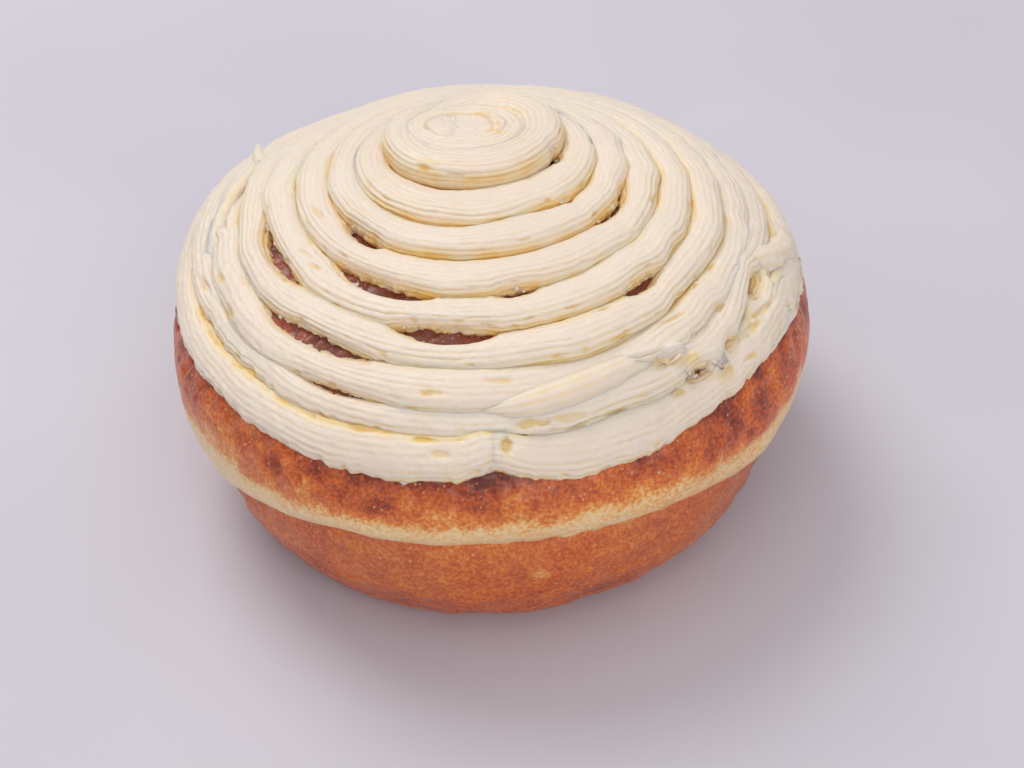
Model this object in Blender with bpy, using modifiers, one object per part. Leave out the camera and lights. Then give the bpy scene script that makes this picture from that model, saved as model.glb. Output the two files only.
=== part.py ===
"""A round cinnamon roll under a piped swirl of cream cheese frosting.

Two nodes: the baked bun, which is solid dough in two lobes with a flat foot, and the frosting,
one rope piped round and round from the rim to a raised coil that lies behind the middle.
Metres, +Z up, the bun's foot on z = 0 and centred on the origin; -Y is the side one looks at.
"""

import math

import bmesh
import bpy
from mathutils import Vector

MM = 0.001

# the bun
FOOT_RADIUS = 48.0 * MM
LOWER_LOBE_RADIUS = 62.0 * MM
LOWER_LOBE_HEIGHT = 19.0 * MM
CREASE_RADIUS = 60.4 * MM
BELLY_RADIUS = 66.8 * MM
BELLY_HEIGHT = 37.0 * MM
BELLY_DROP = 10.0 * MM
DOUGH_TOP = 67.0 * MM
DOUGH_FULLNESS = 1.85
DOUGH_SQUARENESS = 2.2
LOWER_LOBE_ARC = math.radians(113)
UPPER_LOBE_ARC = math.radians(75)
LOBE_STEPS = 7
BELLY_STEPS = 3
DOME_STEPS = 9
BUN_SIDES = 64
LUMP = 0.5 * MM
# swings of the bun's unevenness: waves round it, share of the lump, phase, radians per metre up
LUMP_WAVES = ((2, 1.0, 0.7, 0), (3, 0.6, 2.1, 0), (7, 0.5, 0.0, 90), (11, 0.3, 0.0, -140))
# the crease between the lobes runs higher at the front than round the sides and the back
CREASE_HEIGHT = 27.0 * MM
CREASE_REACH = 9.0 * MM
CREASE_RISE = 2.6 * MM
CREASE_SWING = 9.2 * MM
FRONT_AZIMUTH = 270.0
FRONT_SPREAD = 50.0
SIDE_TUCK = 1.3 * MM
TUCK_FROM = 24.0 * MM
TUCK_TO = 30.0 * MM
CLEARANCE = 0.3 * MM

# the smooth dome that the crests of the rope lie on
FROSTING_TOP = 73.6 * MM
FROSTING_BELLY = 67.0 * MM
FROSTING_BELLY_HEIGHT = 31.3 * MM
FROSTING_FULLNESS = 2.1
FROSTING_SQUARENESS = 2.5
# where its shoulder is squarer: azimuth and spread in degrees, and by how much
SHOULDER_SWELLS = ((165.0, 31.0, 1.1), (-2.0, 30.0, 0.3))

# the swirl: how far each furrow lies from the eye, at the front and at the back,
# from the turn inside the coil (turn -1) to the rim (turn 9) and the start of the rope (turn 10)
EYE_BACK = 17.0 * MM
FRONT_REACH = (0.5, 10.0, 20.6, 31.8, 41.6, 50.2, 58.6, 65.7, 71.4, 75.5, 80.5, 81.4)
BACK_REACH = (0.5, 10.0, 17.0, 17.5, 20.0, 24.5, 29.5, 34.5, 39.5, 44.0, 46.8, 47.4)
FIRST_TURN = -1
# where a furrow or the rim strays: turn, spread in turns, and added reach in mm
BENDS = (
    (7.845, 0.035, -2.2),
    (8.82, 0.12, 1.1),
    (8.95, 0.035, 2.0),
    (9.065, 0.03, 1.0),
    (9.13, 0.08, 0.7),
)
# length of the step over which the dome's direction is taken
PROBE = 0.05 * MM

# the rope
ROPE_DEPTH = 14.0 * MM
ARCH_RISE = 4.3 * MM
ARCH_STEPS = 6
ARCH_FULLNESS = 0.62
LEAST_WIDTH = 7.6 * MM
FURROW_OVERLAP = 0.45 * MM
COIL_LIFT = 2.6 * MM
COIL_TURNS = 1.2
COIL_EASE = 0.07
RIM_LIFT = 0.8 * MM
RIM_TURNS = 8.6
RIM_EASE = 0.2
RAG = 0.7 * MM
# swings of the rim's ragged edge: radians per turn, share of the rag, phase
RAG_WAVES = ((41, 1.0, 0.0), (97, 0.6, 1.3))
FEWEST_STATIONS = 20
STATIONS_PER_MM = 0.44
END_NEST = 0.012
END_SCALE = 0.9
EYE_RADIUS = 8.0 * MM
EYE_RISE = 5.5 * MM
EYE_SIDES = 16
EYE_RINGS = 8
RIM_SEAM = 9.0
ROPE_START = 9.46
START_TAPER = 0.09
START_SCALE = 0.45
STRAND_UNIT = 1.0 * MM
STRAND_ROUNDNESS = 2
STRAND_STEPS = 4
STRAND_ORDER = 3
WELD = 0.01 * MM

# openings in the furrows: turn, where each starts and ends in degrees round from the front
# (clockwise from above), and its width in mm
SLITS = (
    (1, -60, -47, 1.2),
    (3, -58, -34, 1.9),
    (3, 29, 47, 2.6),
    (4, 11, 40, 3.5),
    (4, -12, -1, 1.5),
    (5, -2, 20, 3.7),
    (5, -40, -28, 2.5),
    (5, 40, 70, 3.4),
    (6, 20, 50, 2.9),
    (7, 13, 35, 2.7),
    (7, -62, -50, 2.4),
    (8, -44, -30, 2.2),
)
SLIT_BLUNTNESS = 0.6
# shares of a slit's width taken from the rope inside it and from the rope outside it
UPPER_SHARE = 0.3
LOWER_SHARE = 0.7

# where the piping started, folded over, dripped and was pulled off: points as degrees round from
# the front, mm from the eye and mm above the dome, and the strand's radius in mm at each
LOOSE_ENDS = {
    "curl": (
        ((150, 6.8, -1.6), (90, 7.6, -0.9), (20, 6.0, -0.6), (-50, 5.2, -0.9), (-110, 6.0, -2.0)),
        (2.9, 3.5, 3.6, 3.5, 2.9),
    ),
    "tail": (
        ((2.6, 72.4, -0.7), (-3, 72.6, -1.4), (-10, 71.8, -1.9), (-18, 70.0, -2.3), (-30, 67.6, -3.6)),
        (0.8, 3.0, 3.9, 3.6, 2.6),
    ),
    "fold": (
        ((-80, 63.4, -2.2), (-73, 65.2, -1.2), (-66, 65.2, -0.8), (-60, 63.2, -1.2), (-56, 61.0, -3.0)),
        (2.8, 3.7, 3.9, 3.5, 2.4),
    ),
    "torn": (
        ((-73, 66.4, -2.6), (-66, 68.8, -1.4), (-59, 70.2, -1.3), (-49, 72.0, -2.2), (-39, 73.6, -3.4)),
        (2.9, 4.0, 4.2, 3.6, 2.6),
    ),
    "drip": (((12.8, 78.2, -2.2), (12.8, 80.1, -1.3), (12.5, 81.7, -1.0)), (2.9, 2.0, 0.5)),
    "spike": (((98, 48.8, -2.5), (101, 49.2, -0.6), (106, 50.0, 1.7)), (2.6, 1.8, 0.5)),
}


def clear_scene():
    """Empties the file that Blender starts with."""
    for found in list(bpy.data.objects):
        bpy.data.objects.remove(found, do_unlink=True)


def new_collection(name):
    """A collection of this name, linked to the scene."""
    made = bpy.data.collections.new(name)
    bpy.context.scene.collection.children.link(made)
    return made


def smooth_between(values, turn):
    """Value at a turn, on a smooth curve through values listed one per turn."""
    place = min(max(turn - FIRST_TURN, 0.0), len(values) - 1.001)
    low = int(place)
    part = place - low
    around = [values[min(max(low + step, 0), len(values) - 1)] for step in (-1, 0, 1, 2)]
    before, start, end, after = around
    slope_in = (end - before) / 2
    slope_out = (after - start) / 2
    return (
        start * (1 + 2 * part) * (1 - part) ** 2
        + slope_in * part * (1 - part) ** 2
        + end * part**2 * (3 - 2 * part)
        + slope_out * part**2 * (part - 1)
    )


def dome_height(radius, belly, belly_height, top, fullness, squareness):
    """Height of a domed top at a distance from its axis."""
    inside = max(1 - (radius / belly) ** fullness, 0.0)
    return belly_height + (top - belly_height) * inside ** (1 / squareness)


def shoulder_squareness(azimuth):
    """Squareness of the crests' dome in one direction from its axis, given in degrees."""
    squareness = FROSTING_SQUARENESS
    for middle, spread, more in SHOULDER_SWELLS:
        away = (azimuth - middle + 180) % 360 - 180
        squareness += more * math.exp(-((away / spread) ** 2))
    return squareness


def crest_point(x, y):
    """Point of the dome that the rope's crests lie on, over a point of the plan."""
    height = dome_height(
        math.hypot(x, y),
        FROSTING_BELLY,
        FROSTING_BELLY_HEIGHT,
        FROSTING_TOP,
        FROSTING_FULLNESS,
        shoulder_squareness(math.degrees(math.atan2(y, x))),
    )
    return Vector((x, y, height))


def crest_normal(x, y):
    """Direction straight out of that dome over a point of the plan."""
    across = crest_point(x + PROBE, y) - crest_point(x - PROBE, y)
    along = crest_point(x, y + PROBE) - crest_point(x, y - PROBE)
    return across.cross(along).normalized()


def furrow(turn):
    """Plan point of the furrow outside this turn of the rope."""
    front = smooth_between(FRONT_REACH, turn) * MM
    back = smooth_between(BACK_REACH, turn) * MM
    ring = (front + back) / 2
    offset = (front - back) / 2
    angle = 2 * math.pi * turn
    reach = offset * math.cos(angle) + math.sqrt(ring**2 - (offset * math.sin(angle)) ** 2)
    for middle, spread, more in BENDS:
        reach += more * MM * math.exp(-(((turn - middle) / spread) ** 2))
    azimuth = 1.5 * math.pi - angle
    return Vector((reach * math.cos(azimuth), EYE_BACK + reach * math.sin(azimuth)))


def slit_width(turn):
    """Share of the way open (0 to 1) and the width of the furrow outside this turn."""
    for ring, start, end, width in SLITS:
        degrees = (turn - ring) * 360
        if start < degrees < end:
            share = math.sin(math.pi * (degrees - start) / (end - start)) ** SLIT_BLUNTNESS
            return share, width * MM
    return 0.0, 0.0


def pulled_in(turn, part):
    """How far a slit draws a rope's side, with its part of the width, back from this furrow."""
    share, width = slit_width(turn)
    return share * (FURROW_OVERLAP + width * part)


def lift_of(turn):
    """Height of the rope's crest over the dome: the coil stands proud, and so does the rim."""
    coil = COIL_LIFT / (1 + math.exp((turn - COIL_TURNS) / COIL_EASE))
    rim = RIM_LIFT / (1 + math.exp((RIM_TURNS - turn) / RIM_EASE))
    return coil + rim


def rag(turn):
    """Uneven reach of the rim, where the rope's lower side lies free on the crust."""
    if turn < RIM_SEAM - 1:
        return 0.0
    return RAG * sum(share * math.sin(pace * turn + phase) for pace, share, phase in RAG_WAVES)


def arch(step):
    """Share of the way out to one side, and of the way up, at a step round the rope's arch."""
    angle = math.pi * step / ARCH_STEPS
    level = abs(math.cos(angle)) ** ARCH_FULLNESS
    up = math.sin(angle) ** ARCH_FULLNESS if step % ARCH_STEPS else 0.0
    return math.copysign(level, math.cos(angle)), up


def rope_section(turn, scale=1.0):
    """Ring of points round the rope where it lies inside the furrow of this turn.

    An arch on two straight sides, which reach down into the dough and are cut off there later.
    """
    outer = furrow(turn)
    inner = furrow(max(turn - 1, FIRST_TURN))
    apart = (crest_point(*outer) - crest_point(*inner)).length
    width = max(apart, LEAST_WIDTH)
    middle = outer + (inner - outer) * (width / apart / 2)
    normal = crest_normal(*middle)
    side = (outer - inner).normalized().to_3d()
    side = (side - normal * side.dot(normal)).normalized()
    centre = crest_point(*middle) + normal * lift_of(turn)
    out_reach = (width / 2 + FURROW_OVERLAP - pulled_in(turn, UPPER_SHARE) + rag(turn)) * scale
    in_reach = (width / 2 + FURROW_OVERLAP - pulled_in(turn - 1, LOWER_SHARE)) * scale
    ring = []
    for step in range(ARCH_STEPS + 1):
        across, up = arch(step)
        reach = out_reach if across > 0 else in_reach
        ring.append(centre + side * reach * across - normal * ARCH_RISE * (2 - up - scale))
    depth = ROPE_DEPTH + lift_of(turn)
    ring.append(centre - side * in_reach - normal * depth)
    ring.append(centre + side * out_reach - normal * depth)
    return ring


def loft(name, rings, collection):
    """Solid through a row of rings with the same number of points, closed at both ends."""
    shape = bmesh.new()
    rows = [[shape.verts.new(point) for point in ring] for ring in rings]
    count = len(rows[0])
    for first, second in zip(rows, rows[1:]):
        for corner in range(count):
            beyond = (corner + 1) % count
            shape.faces.new((first[corner], first[beyond], second[beyond], second[corner]))
    shape.faces.new(rows[0][::-1])
    shape.faces.new(rows[-1])
    bmesh.ops.triangulate(shape, faces=shape.faces[:])
    bmesh.ops.recalc_face_normals(shape, faces=shape.faces[:])
    mesh = bpy.data.meshes.new(name)
    shape.to_mesh(mesh)
    shape.free()
    made = bpy.data.objects.new(name, mesh)
    collection.objects.link(made)
    return made


def tip_scale(turn):
    """Share of the rope's full size: it starts thin at the rim."""
    left = max(ROPE_START - turn, 0.0) / START_TAPER
    return min(START_SCALE + (1 - START_SCALE) * left, 1.0)


def rope_piece(number, start, end, collection):
    """One stretch of the rope, its ends drawn in so that they nest in the next stretch."""
    length = end - start
    ring = (smooth_between(FRONT_REACH, end) + smooth_between(BACK_REACH, end)) / 2
    stations = round(length * (FEWEST_STATIONS + ring * STATIONS_PER_MM))
    turns = [start + length * step / stations for step in range(stations + 1)]
    rings = [rope_section(turn, tip_scale(turn)) for turn in turns]
    rings.insert(0, rope_section(start - END_NEST, END_SCALE))
    rings.append(rope_section(end + END_NEST, END_SCALE * tip_scale(end)))
    return loft(f"rope_{number}", rings, collection)


def tapered_strand(name, points, radii, collection):
    """Round strand of changing thickness along a smooth curve, as one closed mesh."""
    curve = bpy.data.curves.new(name, "CURVE")
    curve.dimensions = "3D"
    curve.bevel_depth = STRAND_UNIT
    curve.bevel_resolution = STRAND_ROUNDNESS
    curve.resolution_u = STRAND_STEPS
    curve.use_fill_caps = True
    spline = curve.splines.new("NURBS")
    spline.points.add(len(points) - 1)
    spline.use_endpoint_u = True
    spline.order_u = STRAND_ORDER
    for held, point, radius in zip(spline.points, points, radii):
        held.co = (*point, 1.0)
        held.radius = radius
    carrier = bpy.data.objects.new(name, curve)
    collection.objects.link(carrier)
    bpy.context.view_layer.update()
    evaluated = carrier.evaluated_get(bpy.context.evaluated_depsgraph_get())
    mesh = bpy.data.meshes.new_from_object(evaluated)
    shape = bmesh.new()
    shape.from_mesh(mesh)
    bmesh.ops.remove_doubles(shape, verts=shape.verts[:], dist=WELD)
    bmesh.ops.triangulate(shape, faces=shape.faces[:])
    bmesh.ops.recalc_face_normals(shape, faces=shape.faces[:])
    shape.to_mesh(mesh)
    shape.free()
    made = bpy.data.objects.new(name, mesh)
    made.matrix_world = carrier.matrix_world
    bpy.data.objects.remove(carrier, do_unlink=True)
    collection.objects.link(made)


def on_dome(degrees, reach, height):
    """Point over the dome: degrees round from the front, mm from the eye and mm above it."""
    azimuth = math.radians(270 - degrees)
    x = reach * MM * math.cos(azimuth)
    y = EYE_BACK + reach * MM * math.sin(azimuth)
    return crest_point(x, y) + crest_normal(x, y) * height * MM


def loose_ends(collection):
    """Strands where the piping started, folded over, dripped and was pulled off."""
    for name, (spots, radii) in LOOSE_ENDS.items():
        tapered_strand(name, [on_dome(*spot) for spot in spots], radii, collection)


def eye_blob(collection):
    """Flattened ball that fills the middle of the coil."""
    shape = bmesh.new()
    bmesh.ops.create_uvsphere(
        shape, u_segments=EYE_SIDES, v_segments=EYE_RINGS, radius=EYE_RADIUS
    )
    for vert in shape.verts:
        vert.co.z *= EYE_RISE / EYE_RADIUS
    mesh = bpy.data.meshes.new("eye")
    shape.to_mesh(mesh)
    shape.free()
    made = bpy.data.objects.new("eye", mesh)
    middle = crest_point(0.0, EYE_BACK) + crest_normal(0.0, EYE_BACK) * (COIL_LIFT - EYE_RISE)
    made.location = middle
    collection.objects.link(made)


def bun_profile(clearance):
    """Radius and height of points up the bun's side, pushed out by the clearance."""
    points = [(0.0, 0.0)]
    for step in range(LOBE_STEPS + 1):
        angle = -math.pi / 2 + LOWER_LOBE_ARC * step / LOBE_STEPS
        reach = LOWER_LOBE_RADIUS - FOOT_RADIUS
        height = LOWER_LOBE_HEIGHT * (1 + math.sin(angle))
        points.append((FOOT_RADIUS + reach * math.cos(angle), height))
    for step in range(BELLY_STEPS + 1):
        angle = -UPPER_LOBE_ARC * (1 - step / BELLY_STEPS)
        reach = BELLY_RADIUS - CREASE_RADIUS
        height = BELLY_HEIGHT + BELLY_DROP * math.sin(angle)
        points.append((CREASE_RADIUS + reach * math.cos(angle), height))
    for step in range(1, DOME_STEPS):
        radius = BELLY_RADIUS * math.cos(math.pi / 2 * step / DOME_STEPS)
        height = dome_height(
            radius, BELLY_RADIUS, BELLY_HEIGHT, DOUGH_TOP, DOUGH_FULLNESS, DOUGH_SQUARENESS
        )
        points.append((radius, height))
    points.append((0.0, DOUGH_TOP))
    if not clearance:
        return points
    pushed = []
    for place, (radius, height) in enumerate(points):
        before = Vector(points[max(place - 1, 0)])
        after = Vector(points[min(place + 1, len(points) - 1)])
        along = (after - before).normalized()
        pushed.append((radius + along.y * clearance, height - along.x * clearance))
    pushed[0] = (0.0, -clearance)
    pushed[-1] = (0.0, DOUGH_TOP + clearance)
    return pushed


def lump(azimuth, height):
    """Share by which the baked dough strays from round."""
    swing = sum(
        share * math.sin(waves * azimuth + phase + rise * height)
        for waves, share, phase, rise in LUMP_WAVES
    )
    return LUMP / BELLY_RADIUS * swing


def sideness(azimuth):
    """How far a direction is from the front: 0 there, 1 round the sides and the back."""
    away = (math.degrees(azimuth) - FRONT_AZIMUTH + 180) % 360 - 180
    return 1 - math.exp(-((away / FRONT_SPREAD) ** 4))


def crease_sink(azimuth, height):
    """How far a point of the bun's side lies lower, so that the crease runs up and down."""
    near = math.exp(-(((height - CREASE_HEIGHT) / CREASE_REACH) ** 2))
    return (CREASE_SWING * sideness(azimuth) - CREASE_RISE) * near


def tuck(azimuth, height):
    """How far the lower lobe is drawn in round the sides and the back."""
    up = min(max((height - TUCK_FROM) / (TUCK_TO - TUCK_FROM), 0.0), 1.0)
    return SIDE_TUCK * sideness(azimuth) * (1 - up * up * (3 - 2 * up))


def bun_shape(name, collection, clearance=0.0):
    """The bun, turned from its profile and then made a little uneven."""
    profile = bmesh.new()
    verts = [profile.verts.new((radius, 0.0, height)) for radius, height in bun_profile(clearance)]
    for first, second in zip(verts, verts[1:]):
        profile.edges.new((first, second))
    mesh = bpy.data.meshes.new(name)
    profile.to_mesh(mesh)
    profile.free()
    turned = bpy.data.objects.new(name, mesh)
    collection.objects.link(turned)
    screw = turned.modifiers.new("turn", "SCREW")
    screw.steps = BUN_SIDES
    screw.render_steps = BUN_SIDES
    screw.use_merge_vertices = True
    screw.merge_threshold = WELD
    apply_modifiers(turned)
    shape = bmesh.new()
    shape.from_mesh(turned.data)
    for vert in shape.verts:
        radius = math.hypot(vert.co.x, vert.co.y)
        if radius < FOOT_RADIUS / 2:
            continue
        azimuth = math.atan2(vert.co.y, vert.co.x)
        height = max(vert.co.z, 0.0)
        grow = 1 + lump(azimuth, height) - tuck(azimuth, height) / radius
        vert.co.x *= grow
        vert.co.y *= grow
        if height > LOWER_LOBE_HEIGHT / 4:
            vert.co.z -= crease_sink(azimuth, height)
    bmesh.ops.recalc_face_normals(shape, faces=shape.faces[:])
    shape.to_mesh(turned.data)
    shape.free()
    return turned


def apply_modifiers(target):
    """Makes what the modifiers show the object's own mesh."""
    bpy.context.view_layer.update()
    evaluated = target.evaluated_get(bpy.context.evaluated_depsgraph_get())
    mesh = bpy.data.meshes.new_from_object(evaluated)
    target.modifiers.clear()
    target.data = mesh


def frosting_shape(parts, cutters):
    """The whole swirl as one body, cut clear of the dough that it lies on."""
    pieces = new_collection("swirl_pieces")
    ends = [float(turn) for turn in range(0, 10)]
    made = [
        rope_piece(number, start, end, pieces)
        for number, (start, end) in enumerate(zip(ends, ends[1:]))
    ]
    made.append(rope_piece(len(made), RIM_SEAM + END_NEST, ROPE_START, pieces))
    loose_ends(pieces)
    eye_blob(pieces)
    whole = made[0]
    pieces.objects.unlink(whole)
    parts.objects.link(whole)
    whole.name = "frosting"
    fuse = whole.modifiers.new("fuse", "BOOLEAN")
    fuse.operation = "UNION"
    fuse.operand_type = "COLLECTION"
    fuse.collection = pieces
    fuse.solver = "EXACT"
    apply_modifiers(whole)
    for piece in list(pieces.objects):
        bpy.data.objects.remove(piece, do_unlink=True)
    bpy.data.collections.remove(pieces)
    dough = bun_shape("dough_room", cutters, CLEARANCE)
    dough.hide_render = True
    dough.display_type = "WIRE"
    seat = whole.modifiers.new("seat", "BOOLEAN")
    seat.operation = "DIFFERENCE"
    seat.object = dough
    seat.solver = "EXACT"
    apply_modifiers(whole)
    return whole


def finish(target, name, colour, roughness):
    """Names the node and gives it its own plain material and smooth shading."""
    target.name = name
    target.data.name = name
    material = bpy.data.materials.new(name)
    material.use_nodes = True
    shader = material.node_tree.nodes["Principled BSDF"]
    shader.inputs["Base Color"].default_value = (*colour, 1.0)
    shader.inputs["Roughness"].default_value = roughness
    target.data.materials.clear()
    target.data.materials.append(material)
    for face in target.data.polygons:
        face.use_smooth = True


def main():
    """Builds the two nodes in the scene."""
    clear_scene()
    parts = new_collection("cinnamon_roll")
    cutters = new_collection("cutters")
    bun = bun_shape("bun", parts)
    finish(bun, "bun", (0.42, 0.13, 0.03), 0.55)
    frosting = frosting_shape(parts, cutters)
    finish(frosting, "frosting", (0.86, 0.78, 0.63), 0.5)


main()
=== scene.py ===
"""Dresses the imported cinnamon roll: a baked bun under a piped swirl of cream cheese frosting.

The swirl is one ridged rope laid round and round on a dome, from the rim to a raised coil behind
the middle. The bun is a turned form in two lobes with the relief and colours of a baked crust.
Lengths are in mm until a mesh is written, and +Z is up.
"""

import logging
import math
from dataclasses import dataclass, field
from enum import Enum

import bpy
import numpy as np
from mathutils import Matrix, Vector


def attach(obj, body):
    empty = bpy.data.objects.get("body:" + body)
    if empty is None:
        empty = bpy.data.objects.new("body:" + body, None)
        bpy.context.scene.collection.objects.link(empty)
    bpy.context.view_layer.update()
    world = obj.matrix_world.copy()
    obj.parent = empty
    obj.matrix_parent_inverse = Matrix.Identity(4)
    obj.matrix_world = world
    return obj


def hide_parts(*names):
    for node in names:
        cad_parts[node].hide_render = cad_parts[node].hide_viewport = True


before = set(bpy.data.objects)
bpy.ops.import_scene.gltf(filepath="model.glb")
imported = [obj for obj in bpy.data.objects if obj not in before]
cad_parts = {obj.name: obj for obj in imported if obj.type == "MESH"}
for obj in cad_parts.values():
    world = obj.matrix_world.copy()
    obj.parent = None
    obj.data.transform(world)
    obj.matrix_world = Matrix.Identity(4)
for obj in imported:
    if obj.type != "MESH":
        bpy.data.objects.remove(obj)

MM = 0.001
BODY = "root"
FRONT = 270.0  # azimuth of the front, in degrees
RADIANS = 6.28  # in a turn, rounded
MIX_UNDER, MIX_OVER, MIX_COLOUR = 6, 7, 2  # colour sockets of a mix node
LOG = logging.getLogger("cinnamon_roll")


def srgb(red: int, green: int, blue: int) -> tuple[float, float, float, float]:
    """Turns a screen colour into the linear colour that a shader takes.

    Args:
        red: Red from 0 to 255.
        green: Green from 0 to 255.
        blue: Blue from 0 to 255.

    Returns:
        Linear red, green, blue and an alpha of one.
    """
    linear = [
        share / 12.92 if share <= 0.04045 else ((share + 0.055) / 1.055) ** 2.4
        for share in (red / 255, green / 255, blue / 255)
    ]
    return linear[0], linear[1], linear[2], 1.0


def unit(vectors: np.ndarray) -> np.ndarray:
    """Scales each row to a length of one.

    Args:
        vectors: Rows of vectors.

    Returns:
        The same directions, each of length one.
    """
    return vectors / np.maximum(np.linalg.norm(vectors, axis=-1, keepdims=True), 1e-9)


def ramp(values: np.ndarray, low: float, high: float) -> np.ndarray:
    """Rises smoothly from 0 at one value to 1 at another.

    Args:
        values: Where to read the curve.
        low: Value at which it leaves 0.
        high: Value at which it reaches 1.

    Returns:
        Shares from 0 to 1.
    """
    share = np.clip((np.asarray(values, float) - low) / (high - low), 0.0, 1.0)
    return share * share * (3 - 2 * share)


def smooth_between(values: tuple[float, ...], places: np.ndarray) -> np.ndarray:
    """Reads a smooth curve that passes through evenly spaced values.

    Args:
        values: The curve's values at 0, 1, 2 and so on.
        places: Where to read it.

    Returns:
        The curve at those places.
    """
    knots = np.asarray(values, float)
    place = np.clip(np.asarray(places, float), 0.0, len(knots) - 1.0001)
    low = place.astype(int)
    part = place - low
    before = knots[np.maximum(low - 1, 0)]
    start = knots[low]
    end = knots[low + 1]
    after = knots[np.minimum(low + 2, len(knots) - 1)]
    return (
        start * (1 + 2 * part) * (1 - part) ** 2
        + (end - before) / 2 * part * (1 - part) ** 2
        + end * part**2 * (3 - 2 * part)
        + (after - start) / 2 * part**2 * (part - 1)
    )


def bell(values: np.ndarray, middle: float, width: float) -> np.ndarray:
    """A smooth hump that is 1 at its middle and falls off on both sides over the width."""
    return np.exp(-(((values - middle) / width) ** 2))


def signed_degrees(degrees: np.ndarray, middle: float = 0.0) -> np.ndarray:
    """Degrees round from a direction, between -180 and 180."""
    return (degrees - middle + 180) % 360 - 180


def round_eye(points: np.ndarray, eye_back: float) -> tuple[np.ndarray, np.ndarray]:
    """Where points lie round the swirl's eye.

    Args:
        points: Points in mm.
        eye_back: How far behind the middle the eye lies.

    Returns:
        Degrees clockwise from the front, and distances from the eye in mm.
    """
    onward = points[..., 1] - eye_back
    degrees = FRONT - np.degrees(np.arctan2(onward, points[..., 0]))
    return degrees, np.hypot(points[..., 0], onward)


@dataclass(frozen=True)
class Grain:
    """Smooth unevenness in space that is the same on every run.

    Each use in this file has a seed of its own, so that no two patterns are alike.
    """

    seed: int

    def at(self, points: np.ndarray, size: float) -> np.ndarray:
        """Reads the unevenness at points.

        Args:
            points: Rows of x, y, z in mm.
            size: Distance in mm over which it changes.

        Returns:
            One value from -1 to 1 for each point.
        """
        place = np.asarray(points, float) / size + 100.0 + self.seed * 7.31
        cell = np.floor(place).astype(np.int64)
        part = place - cell
        part = part**3 * (part * (part * 6 - 15) + 10)
        total = np.zeros(place.shape[:-1])
        for corner in range(8):
            step = np.array([corner & 1, corner >> 1 & 1, corner >> 2 & 1])
            weight = np.prod(np.where(step, part, 1 - part), axis=-1)
            total += weight * self.corner_value(cell + step)
        return total

    def corner_value(self, cell: np.ndarray) -> np.ndarray:
        """Mixes a corner's whole numbers into a value that looks drawn.

        Args:
            cell: Rows of whole x, y, z.

        Returns:
            One value from -1 to 1 for each corner.
        """
        mixed = cell[..., 0] * 73856093 ^ cell[..., 1] * 19349663 ^ cell[..., 2] * 83492791
        mixed = (mixed ^ self.seed * 40503) & 0x7FFFFFFF
        mixed = (mixed ^ mixed >> 13) * 1274126177 & 0x7FFFFFFF
        mixed ^= mixed >> 16
        return (mixed & 0xFFFFFF) / 0x7FFFFF - 1.0

    def layered(self, points: np.ndarray, size: float, layers: int) -> np.ndarray:
        """Adds finer and fainter layers of the unevenness.

        Args:
            points: Rows of x, y, z in mm.
            size: Size of the coarsest layer in mm.
            layers: Number of layers, each half the size and height of the one before.

        Returns:
            One value, mostly from -1 to 1, for each point.
        """
        total = np.zeros(np.asarray(points).shape[:-1])
        for layer in range(layers):
            total += Grain(self.seed + 17 * layer).at(points, size / 2**layer) / 2**layer
        return total / (2 - 0.5 ** (layers - 1))


def along(line: np.ndarray, row: float = 0.0) -> np.ndarray:
    """Points for reading unevenness along a line, such as a rope's length.

    Args:
        line: Distances in mm.
        row: Which of many unlike lines to read.

    Returns:
        Rows of x, y, z.
    """
    line = np.asarray(line, float)
    return np.stack([line, np.full_like(line, row * 57.3), np.full_like(line, row * 31.7)], -1)


def mesh_piece(
    name: str,
    points: np.ndarray,
    faces: np.ndarray,
    marks: dict[str, np.ndarray],
    caps: list[list[int]] | None = None,
) -> bpy.types.Object:
    """Writes points and faces as one smooth piece in the scene.

    Args:
        name: The piece's name.
        points: Rows of x, y, z in mm.
        faces: Rows of four corners.
        marks: Named shares, one for each point, that the finish reads.
        caps: Further faces with any number of corners.

    Returns:
        The new object.
    """
    caps = caps or []
    corners = np.concatenate([faces.ravel(), *[np.array(cap) for cap in caps]]).astype(np.int32)
    counts = np.array([4] * len(faces) + [len(cap) for cap in caps], np.int32)
    starts = np.concatenate([[0], np.cumsum(counts)[:-1]]).astype(np.int32)
    mesh = bpy.data.meshes.new(name)
    mesh.vertices.add(len(points))
    mesh.vertices.foreach_set("co", (points * MM).astype(np.float32).ravel())
    mesh.loops.add(len(corners))
    mesh.loops.foreach_set("vertex_index", corners)
    mesh.polygons.add(len(counts))
    mesh.polygons.foreach_set("loop_start", starts)
    mesh.polygons.foreach_set("use_smooth", np.ones(len(counts), bool))
    mesh.update(calc_edges=True)
    mesh.validate()
    for mark, shares in marks.items():
        held = mesh.attributes.new(mark, "FLOAT", "POINT")
        held.data.foreach_set("value", shares.astype(np.float32).ravel())
    piece = bpy.data.objects.new(name, mesh)
    bpy.context.scene.collection.objects.link(piece)
    return piece


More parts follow.
